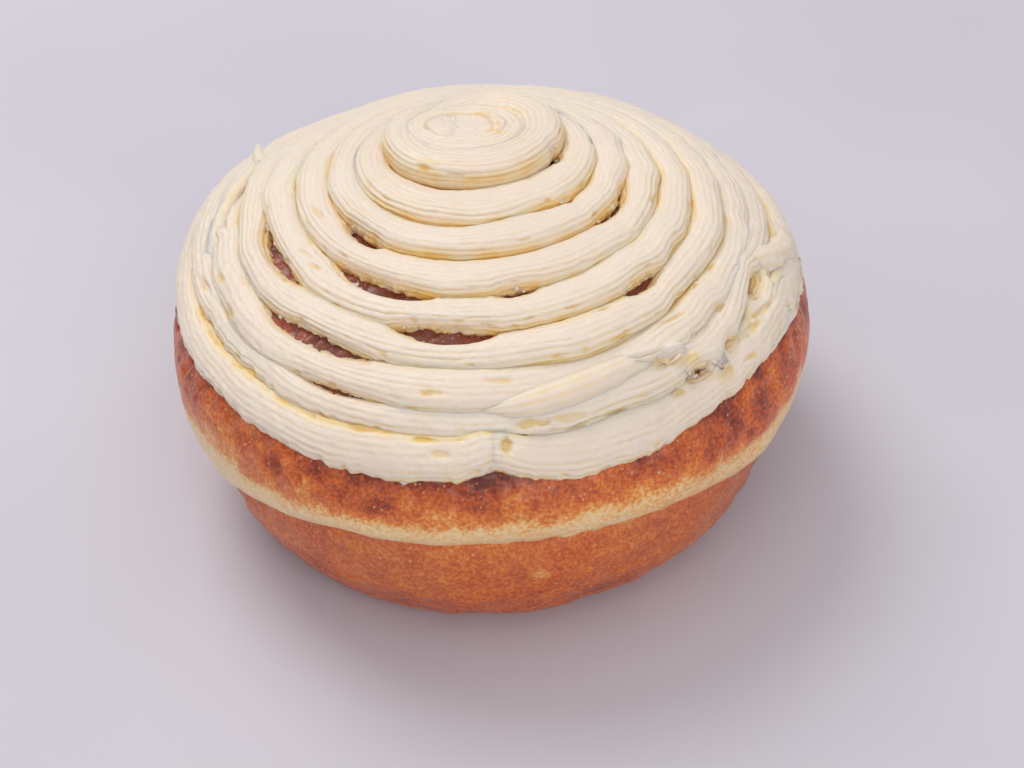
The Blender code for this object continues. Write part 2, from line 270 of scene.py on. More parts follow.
def closed_tube(points: np.ndarray, columns: int) -> tuple[np.ndarray, list[list[int]]]:
    """Faces of a tube that is closed at both ends, all of them pointing out.

    Args:
        points: Rows of x, y, z, which run round each ring in turn.
        columns: Number of points in a ring.

    Returns:
        Rows of four corners, and the corners of the two end faces.
    """
    rows = len(points) // columns
    row = np.arange(rows - 1)[:, None] * columns
    column = np.arange(columns)[None, :]
    beyond = (column + 1) % columns
    corners = [row + column, row + beyond, row + columns + beyond, row + columns + column]
    quads = np.stack(corners, -1).reshape(-1, 4)
    last = (rows - 1) * columns
    ends = [list(range(columns))[::-1], list(range(last, last + columns))]
    triangles = [quads[:, [0, 1, 2]], quads[:, [0, 2, 3]]]
    for end in ends:
        triangles.append(np.array([[end[0], end[n], end[n + 1]] for n in range(1, columns - 1)]))
    corner = (points - points.mean(axis=0))[np.concatenate(triangles)]
    volume = np.einsum("ij,ij->", corner[:, 0], np.cross(corner[:, 1], corner[:, 2]))
    if volume >= 0:
        return quads, ends
    return quads[:, ::-1], [end[::-1] for end in ends]


@dataclass(frozen=True)
class Dome:
    """The smooth dome that the rope's crests lie on."""

    belly: float = 67.0
    belly_height: float = 31.3
    top: float = 73.6
    fullness: float = 2.1
    squareness: float = 2.5
    swells: tuple[tuple[float, float, float], ...] = ((165.0, 31.0, 1.1), (-2.0, 30.0, 0.3))
    probe: float = 0.05

    def point(self, plan: np.ndarray) -> np.ndarray:
        """Points of the dome over points of the plan.

        Args:
            plan: Rows of x and y.

        Returns:
            Rows of x, y and z; the shoulder is squarer round each swell's azimuth.
        """
        radius = np.hypot(plan[..., 0], plan[..., 1])
        azimuth = np.degrees(np.arctan2(plan[..., 1], plan[..., 0]))
        squareness = np.full_like(radius, self.squareness)
        for middle, width, more in self.swells:
            squareness = squareness + more * bell(signed_degrees(azimuth, middle), 0.0, width)
        inside = np.maximum(1 - (radius / self.belly) ** self.fullness, 0.0)
        height = self.belly_height + (self.top - self.belly_height) * inside ** (1 / squareness)
        return np.concatenate([plan, height[..., None]], -1)

    def normal(self, plan: np.ndarray) -> np.ndarray:
        """Directions straight out of the dome over points of the plan.

        Args:
            plan: Rows of x and y.

        Returns:
            Rows of x, y and z, each of length one.
        """
        across = self.point(plan + [self.probe, 0]) - self.point(plan - [self.probe, 0])
        onward = self.point(plan + [0, self.probe]) - self.point(plan - [0, self.probe])
        return unit(np.cross(across, onward))


@dataclass(frozen=True)
class Slit:
    """A place where two turns of the rope part and the dough shows.

    It runs from one place to another in degrees round from the front, and its width is in mm.
    """

    turn: int
    start: float
    end: float
    width: float

    def share(self, turns: np.ndarray) -> np.ndarray:
        """How far open the slit is along the furrow.

        Args:
            turns: Places along the spiral, in turns.

        Returns:
            Shares from 0 to 1.
        """
        part = ((turns - self.turn) * 360 - self.start) / (self.end - self.start)
        inside = np.sin(np.pi * np.clip(part, 0.0, 1.0))
        return np.maximum(inside, 0.0) ** 0.6


@dataclass(frozen=True)
class Bend:
    """A place where a furrow swings out of its even path and comes back."""

    turn: float
    width: float
    outward: float


@dataclass(frozen=True)
class Spiral:
    """Where the rope's furrows run, from the coil to the rim."""

    eye_back: float = 17.0
    front_reach: tuple[float, ...] = (
        0.5, 10.0, 20.6, 31.8, 41.6, 50.2, 58.6, 65.7, 72.4, 76.3, 80.5, 81.4,
    )
    back_reach: tuple[float, ...] = (
        0.5, 10.0, 17.0, 17.5, 20.0, 24.5, 29.5, 34.5, 39.5, 44.0, 46.8, 47.4,
    )
    bends: tuple[Bend, ...] = (
        Bend(8.82, 0.12, 1.1),
        Bend(9.13, 0.08, 0.7),
        Bend(7.845, 0.035, -2.2),
        Bend(8.95, 0.035, 0.9),
        Bend(9.065, 0.03, 0.3),
        Bend(9.0, 0.010, -0.9),
    )
    wander: float = 0.7
    wander_size: float = 24.0
    merging: float = 1.0
    mean_reach: float = 30.0
    slits: tuple[Slit, ...] = (
        Slit(1, -60, -47, 1.2),
        Slit(2, -37, -31, 0.9),
        Slit(3, -58, -34, 1.5),
        Slit(3, 29, 47, 2.2),
        Slit(4, 11, 40, 2.9),
        Slit(4, -12, -1, 1.3),
        Slit(5, -2, 20, 3.3),
        Slit(5, -40, -28, 2.1),
        Slit(5, 41, 69, 2.6),
        Slit(6, 20, 49, 2.6),
        Slit(7, 14, 37, 3.4),
        Slit(7, -14, -9, 0.9),
        Slit(8, -58, -50, 2.2),
        Slit(8, -43.5, -39.5, 1.2),
        Slit(8, -37.5, -30, 1.9),
    )

    def reach(self, turns: np.ndarray) -> np.ndarray:
        """How far the furrow lies from the eye.

        Args:
            turns: Places along the spiral, in turns; the front is at whole numbers.

        Returns:
            Distances in mm.
        """
        turns = np.asarray(turns, float)
        front = smooth_between(self.front_reach, turns + 1)
        back = smooth_between(self.back_reach, turns + 1)
        ring = (front + back) / 2
        offset = (front - back) / 2
        angle = 2 * np.pi * turns
        swing = np.zeros_like(turns)
        for bend in self.bends:
            swing = swing + bend.outward * bell(turns, bend.turn, bend.width)
        return swing + offset * np.cos(angle) + np.sqrt(ring**2 - (offset * np.sin(angle)) ** 2)

    def furrow(self, turns: np.ndarray) -> np.ndarray:
        """Plan points of the furrow outside these turns of the rope.

        Args:
            turns: Places along the spiral, in turns.

        Returns:
            Rows of x and y.
        """
        turns = np.asarray(turns, float)
        reach = self.reach(turns)
        run = turns * RADIANS * np.maximum(reach, 6.0) ** 0.5 * 6
        sway = Grain(3).at(along(run, 1), self.wander_size)
        calm = ramp(turns, 0.2, 1.2) * (1 - ramp(turns, 8.2, 8.8) * 0.5)
        reach = reach + self.wander * sway * calm
        return self.plan(turns, reach)

    def plan(self, turns: np.ndarray, reach: np.ndarray) -> np.ndarray:
        """Plan points at a distance from the eye, in the direction of these turns.

        Args:
            turns: Places along the spiral, in turns.
            reach: Distances from the eye in mm.

        Returns:
            Rows of x and y.
        """
        azimuth = 1.5 * np.pi - 2 * np.pi * np.asarray(turns, float)
        across = reach * np.cos(azimuth)
        onward = self.eye_back + reach * np.sin(azimuth)
        return np.stack([across, onward], -1)

    def merge(self, turns: np.ndarray) -> np.ndarray:
        """How far the ropes on both sides of the furrow run into each other.

        Args:
            turns: Places along the spiral, in turns.

        Returns:
            Distances in mm.
        """
        turns = np.asarray(turns, float)
        line = along(turns * RADIANS * self.mean_reach, 12)
        together = Grain(4).at(line, 21.0) + 0.35 * Grain(5).at(line, 9.0)
        return self.merging * np.clip(together + 0.2, 0.0, 1.0)

    def slit(self, turns: np.ndarray) -> tuple[np.ndarray, np.ndarray]:
        """How open the furrow outside these turns is.

        Args:
            turns: Places along the spiral, in turns.

        Returns:
            The share open, from 0 to 1, and the opening's full width in mm.
        """
        turns = np.asarray(turns, float)
        share = np.zeros_like(turns)
        width = np.zeros_like(turns)
        for slit in self.slits:
            here = slit.share(turns)
            width = np.where(here > share, slit.width, width)
            share = np.maximum(share, here)
        return share, width


@dataclass(frozen=True)
class Dent:
    """A small hollow in the frosting, at degrees round the eye and a reach from it in mm."""

    degrees: float
    reach: float
    along: float
    across: float
    depth: float

    def share(self, points: np.ndarray, eye_back: float) -> np.ndarray:
        """How deep in the dent each point lies, from 0 to 1.

        Args:
            points: Points in mm.
            eye_back: How far behind the middle the eye lies.

        Returns:
            One share for each point.
        """
        degrees, reach = round_eye(points, eye_back)
        away = np.radians(signed_degrees(degrees, self.degrees)) * self.reach
        ragged = 1 + 0.35 * Grain(6).at(points, 1.1)
        distance = np.hypot(away / self.along, (reach - self.reach) / self.across) * ragged
        return 1 - ramp(distance, 0.55, 1.25)


@dataclass(frozen=True)
class Mound:
    """Frosting that lies on the ropes and runs into them: its ridge line, with a crisp outer side.

    Each knot holds degrees round the eye, the reach from it, the height over the dome, and the
    widths of the outer and the inner side, all but the first in mm.
    """

    knots: tuple[tuple[float, float, float, float, float], ...]
    roughness: float = 0.25
    foot: float = -3.2
    inner_foot: float = -0.9
    softness: float = 0.3
    nowhere: float = 9.0

    def raised(
        self, points: np.ndarray, over: np.ndarray, eye_back: float
    ) -> tuple[np.ndarray, np.ndarray, np.ndarray]:
        """How far the mound lifts each point.

        Args:
            points: Points in mm.
            over: Height of each point over the dome.
            eye_back: How far behind the middle the eye lies.

        Returns:
            The lift in mm, the share of each point that the mound covers, and the shade beside it.
        """
        degrees, reach = round_eye(points, eye_back)
        degrees = signed_degrees(degrees)
        knots = np.array(sorted(self.knots))
        line, top, outer, inner = (np.interp(degrees, knots[:, 0], knots[:, n]) for n in range(1, 5))
        flat = points * [1.0, 1.0, 0.0]
        ragged = Grain(91).at(flat, 2.1) + 0.6 * Grain(92).at(flat, 0.9)
        across = reach - line + 0.3 * ragged
        away = np.abs(across) / np.where(across > 0, outer, inner)
        near = np.sqrt(np.clip(1 - away**2, 0.0, 1.0))
        near = np.where(across > 0, near, 1 - ramp(away, 0.0, 1.0))
        foot = np.where(across > 0, self.foot, np.minimum(self.inner_foot, top - 0.1))
        inside = (degrees > knots[0, 0]) & (degrees < knots[-1, 0]) & (near > 0)
        level = foot + (top - foot) * near + self.roughness * ragged
        gap = np.where(inside, level - over, -self.nowhere)
        lift = 0.5 * (gap + np.sqrt(gap**2 + self.softness))
        lift = lift - 0.5 * (np.sqrt(self.nowhere**2 + self.softness) - self.nowhere)
        beside = bell(across - outer, 0.5, 0.9) * (degrees > knots[0, 0] + 1)
        return lift, ramp(gap, -0.1, 0.6), beside * (degrees < knots[-1, 0] - 1)


class Tip(Enum):
    """How a stretch of rope ends."""

    PLAIN = "full size, where the stretch before nests in it"
    NESTED = "drawn in, so that it hides in the next stretch"
    TUCKED = "sunk under the stretch that lies on it"
    ROUNDED = "closed by a round end"
    POINTED = "drawn out to a point"


@dataclass(frozen=True)
class Stretch:
    """One stretch of the swirl's rope, built as a piece of its own."""

    name: str
    start: float
    end: float
    start_tip: Tip
    end_tip: Tip


@dataclass(frozen=True)
class RopeForm:
    """Cross-section of the piped rope and the marks that the nozzle leaves on it."""

    rise: float = 4.5
    fall: float = 3.4
    roundness: float = 0.80
    top_points: int = 76
    under_points: int = 14
    least_width: float = 7.8
    overlap: float = 0.30
    tilt: float = 0.9
    lip: float = 0.34
    ridge_pitch: float = 1.2
    ridge_depth: float = 0.44
    unevenness: float = 0.55
    puff: float = 0.07
    tear: float = 0.42
    round_end: float = 9.0
    tuck: float = 1.2
    nest: float = 2.5
    point_length: float = 12.0
    inset: float = 3.0
    bridging: float = 1.2
    outer_slit: float = 0.25
    inner_slit: float = 0.75
    long_step: float = 0.95
    short_step: float = 0.45

    def rounded(self, share: np.ndarray) -> np.ndarray:
        """Makes a circle's sine or cosine into that of the rope's section."""
        return np.sign(share) * np.abs(share) ** self.roundness

    def outline(self) -> tuple[np.ndarray, np.ndarray, np.ndarray]:
        """The section's outline before it is sized.

        Returns:
            Shares across (1 is the outer side) and up (1 is the crest), and how far each point
            is round the top, from 0 at the outer side to 1 at the inner side, or past them below.
        """
        fine = np.linspace(0.0, np.pi, 2000)
        across, up = self.rounded(np.cos(fine)), self.rounded(np.sin(fine))
        steps = np.hypot(np.diff(across * 4.4), np.diff(up * self.rise))
        run = np.concatenate([[0], np.cumsum(steps)])
        angles = np.interp(np.linspace(0, run[-1], self.top_points), run, fine)
        below = np.linspace(np.pi, 2 * np.pi, self.under_points + 2)[1:-1]
        every = np.concatenate([angles, below])
        across, up = self.rounded(np.cos(every)), self.rounded(np.sin(every))
        round_top = np.linspace(0.0, 1.0, self.top_points)
        round_below = 1.0 + (below - np.pi) / np.pi
        return across, up, np.concatenate([round_top, round_below])


@dataclass(frozen=True)
class Swirl:
    """The rope's geometry on the dome: where each ring of points round it lies."""

    dome: Dome
    spiral: Spiral
    form: RopeForm
    dents: tuple[Dent, ...]
    mounds: tuple[Mound, ...]
    coil_lift: float = 2.6
    coil_end: float = 1.36
    coil_ease: float = 0.055
    rim_lift: float = 0.8
    rim_from: float = 8.6
    rim_ease: float = 0.2
    over_lift: float = 0.6
    last_turn: float = 9.5

    def stations(self, start: float, end: float) -> np.ndarray:
        """Places along a stretch, closer together where the rope is torn.

        Args:
            start: First place, in turns.
            end: Last place, in turns.

        Returns:
            Places in turns.
        """
        places = [start]
        while places[-1] < end:
            turn = places[-1]
            reach = float(self.spiral.reach(np.array([turn]))[0])
            own = self.spiral.slit(np.array([turn, turn - 1]))[0].max()
            ragged = max(own, float(ramp(np.array([turn]), 7.9, 8.0)[0]) * 0.6)
            shorter = (self.form.short_step - self.form.long_step) * min(ragged * 2, 1)
            step = self.form.long_step + shorter
            places.append(turn + step / (2 * math.pi * max(reach - self.form.inset, 4.0)))
        places[-1] = end
        return np.array(places)

    def lift(self, turns: np.ndarray) -> np.ndarray:
        """Height of the crest over the dome: the coil stands proud, and so does the rim.

        Args:
            turns: Places along the spiral, in turns.

        Returns:
            Heights in mm.
        """
        coil = self.coil_lift / (1 + np.exp((turns - self.coil_end) / self.coil_ease))
        rim = self.rim_lift / (1 + np.exp((self.rim_from - turns) / self.rim_ease))
        over = self.over_lift * ramp(turns, 8.98, 8.99) * (1 - ramp(turns, 9.05, 9.2))
        return coil + rim + over

    def coiled(self, turns: np.ndarray) -> np.ndarray:
        """Share of the coil in each ring, as one column: 1 in the coil and 0 past its end."""
        return (1 - ramp(turns, 1.05, 1.35))[:, None]

    def inner_plan(self, turns: np.ndarray) -> np.ndarray:
        """Plan points of the rope's inner side."""
        return self.spiral.furrow(np.maximum(turns - 1, -1.0))

    def length(self, turns: np.ndarray) -> np.ndarray:
        """How far along the rope each place lies, counted from the coil's middle.

        Args:
            turns: Places along the spiral, in turns.

        Returns:
            Distances in mm.
        """
        every = np.linspace(0.0, self.last_turn, 3801)
        plan = self.spiral.plan(every, np.maximum(self.spiral.reach(every) - 4.0, 1.0))
        steps = np.linalg.norm(np.diff(plan, axis=0), axis=1)
        return np.interp(turns, every, np.concatenate([[0.0], np.cumsum(steps)]))

    def places(self, stretch: Stretch) -> np.ndarray:
        """Places along a stretch, which runs on a little into the next one if it nests there.

        Args:
            stretch: Which part of the rope, and how it ends.

        Returns:
            Places in turns.
        """
        more = 0.0
        if stretch.end_tip is Tip.NESTED:
            reach = float(self.spiral.reach(np.array([stretch.end]))[0])
            more = self.form.nest / (2 * math.pi * (reach - self.form.inset))
        return self.stations(stretch.start, stretch.end + more)

    def rings(self, turns: np.ndarray, scale: np.ndarray) -> tuple[np.ndarray, np.ndarray]:
        """Points round the rope at each place.

        Args:
            turns: Places along the spiral, in turns.
            scale: Share of full size at each place.

        Returns:
            Points as rings by columns by x, y, z, and the painted shade of each one, deepest in the
            furrows.
        """
        form = self.form
        run = self.length(turns)
        outer = self.spiral.furrow(turns)
        inner = self.inner_plan(turns)
        apart = np.linalg.norm(self.dome.point(outer) - self.dome.point(inner), axis=1)
        width = np.maximum(apart, form.least_width)
        middle = outer + (inner - outer) * (width / np.maximum(apart, 0.01) / 2)[:, None]
        normal = self.dome.normal(middle)
        side = np.concatenate([outer - inner, np.zeros((len(turns), 1))], -1)
        side = unit(side - normal * np.sum(side * normal, -1, keepdims=True))
        sway = Grain(11).at(along(run, 2), 26.0)
        centre = self.dome.point(middle) + normal * (self.lift(turns) + form.unevenness * sway)[:, None]

        even_half = width / 2 * (1 + form.puff * Grain(12).at(along(run, 3), 22.0))
        out_half, own_share = self.half_width(turns, outer, even_half, form.outer_slit)
        in_half, next_share = self.half_width(turns - 1, inner, even_half, form.inner_slit)
        out_half = out_half + self.rim_rag(turns, run)

        across, up, around = form.outline()
        half = np.where(across[None, :] > 0, out_half[:, None], in_half[:, None])
        tall = np.where(up > 0, form.rise, form.fall)
        reach = half * across[None, :]
        height = (tall * up)[None, :] - form.rise + form.tilt * across[None, :]
        ridge, groove_shade = self.ridges(turns, run, around, width, own_share, next_share)
        outward_across = across[None, :] * np.ones_like(reach)
        outward_up = (up / np.maximum(np.hypot(across, up), 0.1))[None, :]
        reach = reach + outward_across * ridge
        height = height + outward_up * ridge
        reach = reach * scale[:, None]
        height = (height + form.rise) * scale[:, None] - form.rise - (1 - scale[:, None]) * 1.5
        points = (
            centre[:, None, :]
            + side[:, None, :] * reach[..., None]
            + normal[:, None, :] * height[..., None]
        )
        rough = Grain(21).at(points, 2.6) * 0.14 + Grain(22).at(points, 1.1) * 0.10
        points = points + normal[:, None, :] * rough[..., None]
        open_wall = own_share[:, None] * (around < 0.4) + next_share[:, None] * (around > 0.6)
        open_wall = np.clip(open_wall, 0, 1)
        coil = self.coiled(turns)
        # Painted shade: yellower the deeper a point lies in a furrow, less on open slit walls and in the
        # coil.
        depth = ramp(-height, 0.5, 2.7) * (1 - 0.4 * open_wall) * (1 - 0.5 * coil)
        # Painted shade on the lower part of the outer flank.
        flank = 0.16 * bell(around, 0.12, 0.14)
        mark = np.clip(depth + flank + 0.5 * groove_shade, 0.0, 1.0)
        return self.worked(points, mark, normal, around)

    def half_width(
        self, turns: np.ndarray, furrow: np.ndarray, even: np.ndarray, part: float
    ) -> tuple[np.ndarray, np.ndarray]:
        """How far the rope reaches from its middle to one of its two furrows.

        Args:
            turns: Places along the furrow, in turns.
            furrow: Plan points of the furrow.
            even: Half of the rope's width in mm, where nothing parts or joins the ropes.
            part: Share of a slit's width that is taken from this rope.

        Returns:
            Distances in mm, and how open the furrow is.
        """
        share, width = self.spiral.slit(turns)
        overlap = self.form.overlap + self.spiral.merge(turns) + self.form.bridging * self.bridged(furrow)
        return even + overlap - share * (overlap + part * width), share

    def worked(
        self, points: np.ndarray, mark: np.ndarray, normal: np.ndarray, around: np.ndarray
    ) -> tuple[np.ndarray, np.ndarray]:
        """Sinks the dents into the rope and lays the mounds on it, with painted shade in the dents and
        along each mound's outer foot.

        Args:
            points: Points round the rope.
            mark: Painted shade of each point, deepest in the furrows.
            normal: Direction out of the dome at each ring.
            around: How far round the top each column is.

        Returns:
            The moved points and their new painted shade.
        """
        for dent in self.dents:
            share = dent.share(points, self.spiral.eye_back)
            points = points - normal[:, None, :] * (0.75 * dent.depth * share)[..., None]
            # Painted shade in the dent.
            mark = np.clip(mark + 0.6 * share, 0.0, 1.1)
        free = (around < 1.05)[None, :]
        for mound in self.mounds:
            over = (points[..., 2] - self.dome.point(points[..., :2])[..., 2]) * normal[:, None, 2]
            lift, covered, beside = mound.raised(points, over, self.spiral.eye_back)
            points = points + normal[:, None, :] * (lift * free)[..., None]
            # Painted shade: less where a mound covers the rope, more along its outer foot.
            mark = np.clip(mark * (1 - 0.85 * covered) + 0.6 * beside * (1 - covered), 0.0, 1.1)
        return points, mark

    def bridged(self, plan: np.ndarray) -> np.ndarray:
        """Share by which a mound covers the furrow at points of the plan.

        Args:
            plan: Rows of x and y.

        Returns:
            One share for each point; the ropes spread under a mound, so that no gap shows in it.
        """
        share = np.zeros(len(plan))
        in_furrow = np.full(len(plan), -2.5)
        for mound in self.mounds:
            covered = mound.raised(self.dome.point(plan), in_furrow, self.spiral.eye_back)[1]
            share = np.maximum(share, covered)
        return share

    def ridges(
        self,
        turns: np.ndarray,
        run: np.ndarray,
        around: np.ndarray,
        width: np.ndarray,
        own: np.ndarray,
        following: np.ndarray,
    ) -> tuple[np.ndarray, np.ndarray]:
        """Marks along the rope from the nozzle's teeth, and torn sides beside the slits.

        Args:
            turns: Places along the spiral, in turns.
            run: Distance along the rope of each ring.
            around: How far round the top each column is.
            width: The rope's width at each ring.
            own: How open the furrow outside the rope is at each ring.
            following: How open the furrow inside it is.

        Returns:
            How far out each point moves in mm, and the painted shade in its nozzle marks and pits.
        """
        form = self.form
        drift = 0.7 * Grain(31).at(along(run, 4), 45.0)
        many = (width + 5.0) / form.ridge_pitch
        coil = self.coiled(turns)
        phase = around[None, :] * many[:, None] + drift[:, None]
        number = np.round(phase)
        crest = np.abs(np.cos(np.pi * phase)) ** 0.8
        flank = 0.42 + 0.68 * bell(around, 0.16, 0.2) + 0.2 * ramp(around, 0.65, 0.85)
        flank = np.maximum(flank[None, :], 0.85 * coil) * (around < 1.35)
        strength = np.zeros_like(phase)
        for ridge in range(int(number.min()), int(number.max()) + 1):
            level = 0.62 + 0.95 * Grain(40).layered(along(run, ridge), 13.0, 2)
            strength = np.where(number == ridge, np.clip(level, 0.2, 1.35)[:, None], strength)
        cut = form.ridge_depth * flank * strength
        move = -cut * (1 - crest)
        grid = np.stack(np.broadcast_arrays(run[:, None], around[None, :] * 13.0, np.zeros(1)), -1)
        crumb = Grain(51).at(grid, 1.3) + 0.8 * Grain(52).at(grid, 0.7)
        outer_side = bell(around, 0.0, 0.13) + bell(around, 2.0, 0.2)
        inner_side = bell(around, 1.0, 0.16)
        torn = own[:, None] * outer_side[None, :] + following[:, None] * inner_side[None, :]
        move = move + form.tear * crumb * np.clip(torn + 0.35 * inner_side[None, :], 0.0, 1.0)
        shoulder = bell(around, 0.87, 0.06)[None, :]
        ragged = 0.5 + 0.5 * Grain(53).at(along(run, 9), 3.1) + 0.6 * Grain(54).at(along(run, 10), 1.2)
        move = move + form.lip * shoulder * np.clip(ragged, 0.0, 1.6)[:, None]
        pit = ramp(Grain(55).at(grid * [0.30, 1.15, 1.0], 0.8), 0.62, 0.8)
        where = bell(around, 0.2, 0.12) + bell(around, 0.8, 0.08)
        pit = pit * np.clip(where, 0.0, 1.0)[None, :]
        move = move - 0.5 * pit
        # The second value is painted shade in the grooves between ridges and in the pits.
        return move, np.clip((1 - crest) * flank * strength + 1.3 * pit, 0.0, 1.5)

    def rim_rag(self, turns: np.ndarray, run: np.ndarray) -> np.ndarray:
        """Uneven reach of the rim, where the rope's lower side lies free on the crust.

        Args:
            turns: Places along the spiral, in turns.
            run: Distance along the rope of each place.

        Returns:
            Distances in mm.
        """
        free = ramp(turns, 7.95, 8.1)
        coarse = 0.6 * Grain(61).layered(along(run, 5), 9.0, 3)
        fine = 0.34 * Grain(62).at(along(run, 6), 1.6) + 0.2 * Grain(63).at(along(run, 11), 0.9)
        return free * (coarse + fine)

    def stretch(self, stretch: Stretch) -> tuple[np.ndarray, np.ndarray]:
        """Rings of one stretch, its ends closed in the way that it says.

        Args:
            stretch: Which part of the rope, and how it ends.

        Returns:
            Points and their painted shade, as in rings.
        """
        turns = self.places(stretch)
        scale = np.ones_like(turns)
        reach = self.spiral.reach(turns)
        circumference = 2 * math.pi * np.maximum(reach - self.form.inset, 3.0)
        from_start = (turns - stretch.start) * circumference
        from_end = (turns[-1] - turns) * circumference
        for tip, gap in ((stretch.start_tip, from_start), (stretch.end_tip, from_end)):
            if tip is Tip.PLAIN:
                continue
            if tip in (Tip.NESTED, Tip.TUCKED):
                scale *= 0.93 + 0.07 * ramp(gap, 0.0, self.form.nest)
            elif tip is Tip.ROUNDED:
                near = 1 - np.clip(gap / self.form.round_end, 0.0, 1.0)
                scale *= np.clip(1 - near**1.9, 0.0, 1.0) ** 0.55
            else:
                scale *= np.clip(gap / self.form.point_length, 0.0, 1.0) ** 0.7
        points, marks = self.rings(turns, np.maximum(scale, 0.02))
        if stretch.end_tip is Tip.TUCKED:
            sunk = self.form.tuck * (1 - ramp(from_end, 0.0, 16.0))
            points = points - self.dome.normal(points[:, 0, :2] * 0.9)[:, None, :] * sunk[:, None, None]
        return points, marks


@dataclass(frozen=True)
class Curl:
    """The middle of the coil: a flat disc inside a ridged ring, with a torn lip over its right end."""

    centre: tuple[float, float] = (-3.4, 14.2)
    half_long: float = 8.0
    half_short: float = 5.4
    slant: float = -8.0
    ring: float = 4.6
    tuck: float = 1.8
    lift: float = 2.45
    step: float = 0.7
    pitch: float = 1.15
    ridge_depth: float = 0.26
    lip_height: float = 0.9
    lip_degrees: float = 8.0
    rows: int = 84
    columns: int = 240

    def rings(self, dome: Dome) -> tuple[np.ndarray, np.ndarray]:
        """Points of the disc and its ring, and of the underside that closes them.

        Args:
            dome: The dome that they stand on.

        Returns:
            Points as rings by columns by x, y, z, and how yellow each one is: painted shade in the grooves,
            at the disc's edge and under the lip, and blotches at random.
        """
        angle = np.linspace(0, 2 * np.pi, self.columns, endpoint=False)[None, :]
        outer = 1 + (self.ring + self.tuck) / self.half_short
        share = np.linspace(0.012, outer, self.rows)[:, None]
        beyond = (share - 1) * self.half_short
        long_side = np.where(share < 1, self.half_long * share, self.half_long + beyond)
        short_side = np.where(share < 1, self.half_short * share, self.half_short + beyond)
        slant = math.radians(self.slant)
        across = long_side * np.cos(angle)
        onward = short_side * np.sin(angle)
        plan = np.stack(
            [
                self.centre[0] + across * math.cos(slant) - onward * math.sin(slant),
                self.centre[1] + across * math.sin(slant) + onward * math.cos(slant),
            ],
            -1,
        )
        flat = np.concatenate([plan, np.zeros_like(plan[..., :1])], -1)
        drift = 0.5 * Grain(131).at(flat, 7.0) + angle / (2 * np.pi)
        phase = beyond / self.pitch + drift
        groove = 1 - np.abs(np.cos(np.pi * phase)) ** 0.8
        level = np.clip(0.75 + 0.6 * Grain(132).layered(flat, 6.0, 2), 0.1, 1.3)
        lip = bell(signed_degrees(np.degrees(angle), self.lip_degrees), 0.0, 52.0)
        ragged = 0.22 * Grain(133).at(flat, 2.6) + 0.12 * Grain(134).at(flat, 1.1)
        edge = 1.0 + ragged * (0.15 + 0.55 * lip) - 0.22 * lip
        inside = 1 - ramp(share - edge, -0.07, 0.05)
        whirl = np.stack([angle * 9 + 0 * share, share * 2.0 + 0 * angle, 0 * phase], -1)
        streak = np.abs(Grain(135).at(whirl, 1.0))
        left = bell(signed_degrees(np.degrees(angle), 170), 0.0, 38.0) * ramp(share, 0.35, 0.6)
        height = self.lift + 0.15 * Grain(136).at(flat, 9.0)
        height = height - self.step * inside * (1 - 0.35 * ramp(-share, -0.8, 0.0))
        height = height - self.ridge_depth * groove * level * (1 - 0.75 * inside)
        height = height + lip * self.lip_height * bell(share - edge, 0.12, 0.16)
        height = height - 0.35 * streak * left * inside
        height = height + 0.08 * Grain(137).at(flat, 1.6) + 0.05 * Grain(138).at(flat, 0.8)
        height = height - 2.2 * ramp(beyond, self.ring - 1.6, self.ring + self.tuck)
        top = dome.point(plan) + dome.normal(plan) * height[..., None]
        under = top[-1] - [0.0, 0.0, 2.0]
        rounded = (top[-1] + under) / 2 + (top[-1] - top[-2])
        points = np.concatenate([top, rounded[None], under[None]])
        # Yellow blotches at random, stronger near the torn lip, where they are painted shade under it.
        blotch_and_lip_shade = ramp(Grain(139).at(flat, 1.7), 0.45, 0.8) * (0.25 + lip)
        # Painted shade in the ring's grooves and along the disc's edge.
        mark = 0.4 * groove * level * (1 - inside) + 0.55 * blotch_and_lip_shade + 0.3 * bell(share - edge, 0.0, 0.05)
        mark = np.concatenate([mark, mark[-1:], mark[-1:]])
        return points, np.clip(mark, 0.0, 1.0)


